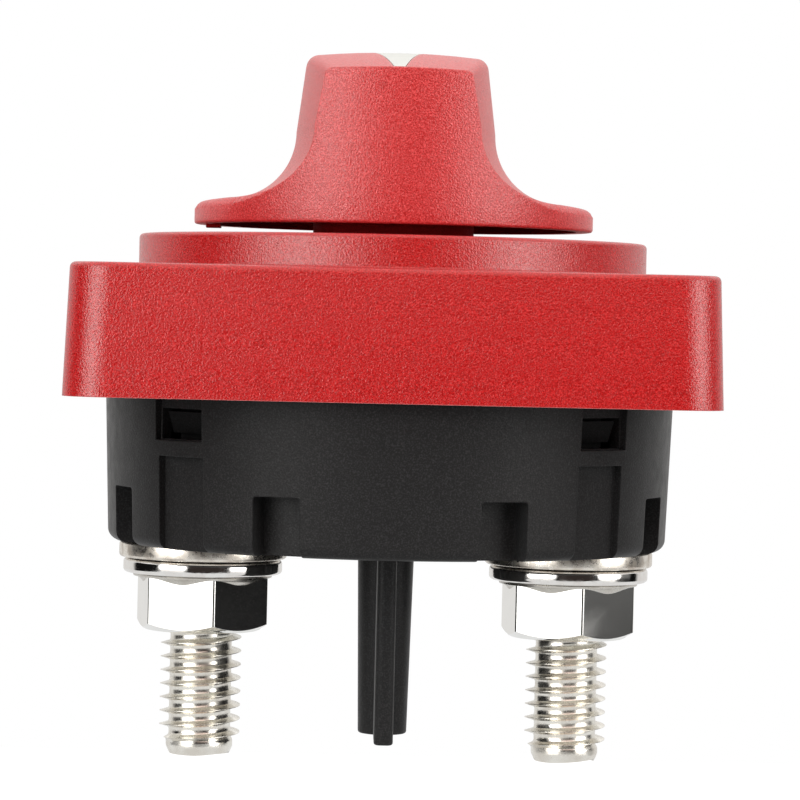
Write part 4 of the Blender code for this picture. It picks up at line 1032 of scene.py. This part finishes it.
innerFinishes = {
    "contact_carrier": carrierShadeBlack,
    "rotor": rotorGrey,
    "spindle": springSteel,
    "knob_screw": springSteel,
    "contact_spring": springSteel,
    "detent_spring_front": springSteel,
    "detent_spring_back": springSteel,
    "contact_bridge": barCopper,
    "fixed_contact_left": barCopper,
    "fixed_contact_right": barCopper,
    "stud_seal_left": sealRubber,
    "stud_seal_right": sealRubber,
    "spindle_seal": sealRubber,
    "cover_gasket": sealRubber,
    "cover_screw_1": springSteel,
    "cover_screw_2": springSteel,
    "cover_screw_3": springSteel,
    "cover_screw_4": springSteel,
}

for name, material in innerFinishes.items():
    for place in nodes[name].material_slots:
        place.material = material
print("stage 7: inner pieces")


# Floor, light and camera

floor = {
    "height": -0.0822,
    "size": 0.66,
    "albedo": 0.55,
    "mottleSize": 0.05,
    "mottle": 0.01,
    "roughness": 0.9,
    "glow": 0.78,  # what the camera sees besides the shadow
    "shade": 0.30,
    "mirror": 0.82,  # what gloss and glass see
}

studio = {
    "leftPanel": (-66, -60, -27, -20),  # degrees round the object from the camera's side
    "rightPanel": (40, 46, 74, 79, 96, 100),
    "rightFoot": (40, 46, 68, 74, 96, 100),  # the right panel is narrower low down
    "rightFaint": 0.032,
    "panels": 5.8,
    "panelFoot": 0.18,
    "footHeights": (0.40, 0.49),
    "backSpan": (-119, -112, 112, 119),
    "backdrop": 0.78,
    "frontSpan": (-66, -60, 82, 88),
    "front": 0.030,
    "dark": 0.006,
    "roof": 1.40,
    "roofHeights": (0.30, 0.46),
    "brownSpan": (-20, -14, 32, 38),
    "brown": (1.0, 0.80, 0.73),
    "warm": (1.0, 0.985, 0.965),
}

view = {
    "place": (-0.0055, -0.4280, 0.0095),
    "yaw": 0.90,
    "down": 1.321,
    "roll": 1.33,
    "lens": 164.3,
    "sensor": 36,
    "clip": (0.01, 20),
}

white = (1, 1, 1, 1)


def mathNode(tree, operation, first, second):
    node = addNode(tree, "ShaderNodeMath", operation=operation)
    for socket, value in zip(node.inputs, (first, second)):
        if isinstance(value, (int, float)):
            socket.default_value = value
        else:
            tree.links.new(value, socket)
    return node.outputs[0]


def blendNumbers(tree, factor, first, second):
    node = addNode(tree, "ShaderNodeMix", data_type="FLOAT")
    for number, value in ((0, factor), (2, first), (3, second)):  # its number sockets
        if isinstance(value, float):
            node.inputs[number].default_value = value
        else:
            tree.links.new(value, node.inputs[number])
    return node.outputs[0]


def mixShaders(tree, factor, first, second):
    node = addNode(tree, "ShaderNodeMixShader")
    for socket, value in zip(node.inputs, (factor, first, second)):
        tree.links.new(value, socket)
    return node.outputs[0]


def buildFloor():
    f = floor
    bm = bmesh.new()
    bmesh.ops.create_grid(bm, x_segments=1, y_segments=1, size=f["size"] / 2,
                          matrix=Matrix.Translation((0, 0, f["height"])))
    obj = newObject("floor", bm)
    material, tree, shader = newMaterial("floorPale", [f["albedo"]] * 3, f["roughness"])
    shader.inputs["Specular IOR Level"].default_value = 0.0
    tone = mottle(tree, f["mottleSize"], evenPlaces,
                  (f["albedo"] - f["mottle"], f["albedo"] + f["mottle"]))
    tree.links.new(tone, shader.inputs["Base Color"])
    glow = addNode(tree, "ShaderNodeEmission", {"Color": white, "Strength": f["glow"]})
    shade = addNode(tree, "ShaderNodeBsdfDiffuse", {"Color": (*[f["shade"]] * 3, 1)})
    seen = addNode(tree, "ShaderNodeAddShader")
    tree.links.new(glow.outputs[0], seen.inputs[0])
    tree.links.new(shade.outputs[0], seen.inputs[1])
    mirror = addNode(tree, "ShaderNodeEmission", {"Color": white, "Strength": f["mirror"]})
    rays = addNode(tree, "ShaderNodeLightPath").outputs
    glossy = mathNode(tree, "MAXIMUM", rays["Is Glossy Ray"], rays["Is Transmission Ray"])
    lit = mixShaders(tree, glossy, shader.outputs[0], mirror.outputs[0])
    whole = mixShaders(tree, rays["Is Camera Ray"], lit, seen.outputs[0])
    tree.links.new(whole, tree.nodes["Material Output"].inputs["Surface"])
    obj.data.materials.append(material)


def buildStudio():
    s = studio
    world = bpy.data.worlds.new("studio")
    bpy.context.scene.world = world
    world.use_nodes = True
    tree = world.node_tree
    tree.nodes.clear()
    place = addNode(tree, "ShaderNodeTexCoord")
    axes = addNode(tree, "ShaderNodeSeparateXYZ")
    tree.links.new(place.outputs["Generated"], axes.inputs[0])
    x, y, z = axes.outputs
    turn = mathNode(tree, "ARCTAN2", x, mathNode(tree, "MULTIPLY", y, -1.0))
    share = mathNode(tree, "ADD", mathNode(tree, "DIVIDE", turn, 2 * math.pi), 0.5)

    def around(angles, values):
        return ramp(tree, share, [angle / 360 + 0.5 for angle in angles], values)

    rightLevels = (0.0, 1.0, 1.0, s["rightFaint"], s["rightFaint"], 0.0)
    left = around(s["leftPanel"], (0.0, 1.0, 1.0, 0.0))
    right = around(s["rightPanel"], rightLevels)
    rightFoot = around(s["rightFoot"], rightLevels)
    foot = ramp(tree, mathNode(tree, "ADD", z, 0.5), s["footHeights"], (1.0, 0.0))
    panels = mathNode(tree, "ADD", left, blendNumbers(tree, foot, right, rightFoot))
    panels = mathNode(tree, "MULTIPLY", panels, blendNumbers(tree, foot, 1.0, s["panelFoot"]))
    back = around(s["backSpan"], (1.0, 0.0, 0.0, 1.0))
    front = around(s["frontSpan"], (0.0, 1.0, 1.0, 0.0))
    level = mathNode(tree, "MULTIPLY", panels, s["panels"])
    level = mathNode(tree, "ADD", level, mathNode(tree, "MULTIPLY", back, s["backdrop"]))
    level = mathNode(tree, "ADD", level, mathNode(tree, "MULTIPLY", front, s["front"]))
    level = mathNode(tree, "ADD", level, s["dark"])
    roof = ramp(tree, z, s["roofHeights"], (0.0, 1.0))
    level = mathNode(tree, "MULTIPLY", level, mathNode(tree, "SUBTRACT", 1.0, roof))
    level = mathNode(tree, "ADD", level, mathNode(tree, "MULTIPLY", roof, s["roof"]))
    light = addNode(tree, "ShaderNodeBackground")
    tone = around(s["brownSpan"], (s["warm"], s["brown"], s["brown"], s["warm"]))
    tree.links.new(tone, light.inputs["Color"])
    tree.links.new(level, light.inputs["Strength"])
    plain = addNode(tree, "ShaderNodeBackground", {"Color": white, "Strength": 1.0})
    rays = addNode(tree, "ShaderNodeLightPath").outputs
    whole = mixShaders(tree, rays["Is Camera Ray"], light.outputs[0], plain.outputs[0])
    tree.links.new(whole, addNode(tree, "ShaderNodeOutputWorld").inputs["Surface"])


def buildCamera():
    v = view
    data = bpy.data.cameras.new("camera")
    data.lens = v["lens"]
    data.sensor_width = v["sensor"]
    data.clip_start, data.clip_end = v["clip"]
    obj = bpy.data.objects.new("camera", data)
    bpy.context.scene.collection.objects.link(obj)
    aim = Matrix.Rotation(-math.radians(v["yaw"]), 4, "Z")
    aim @= Matrix.Rotation(math.radians(90 - v["down"]), 4, "X")
    aim @= Matrix.Rotation(math.radians(v["roll"]), 4, "Z")
    obj.matrix_world = Matrix.Translation(v["place"]) @ aim
    bpy.context.scene.camera = obj


buildFloor()
buildStudio()
buildCamera()
bpy.context.scene.view_settings.view_transform = "Standard"
print("stage 8: floor, light and camera")
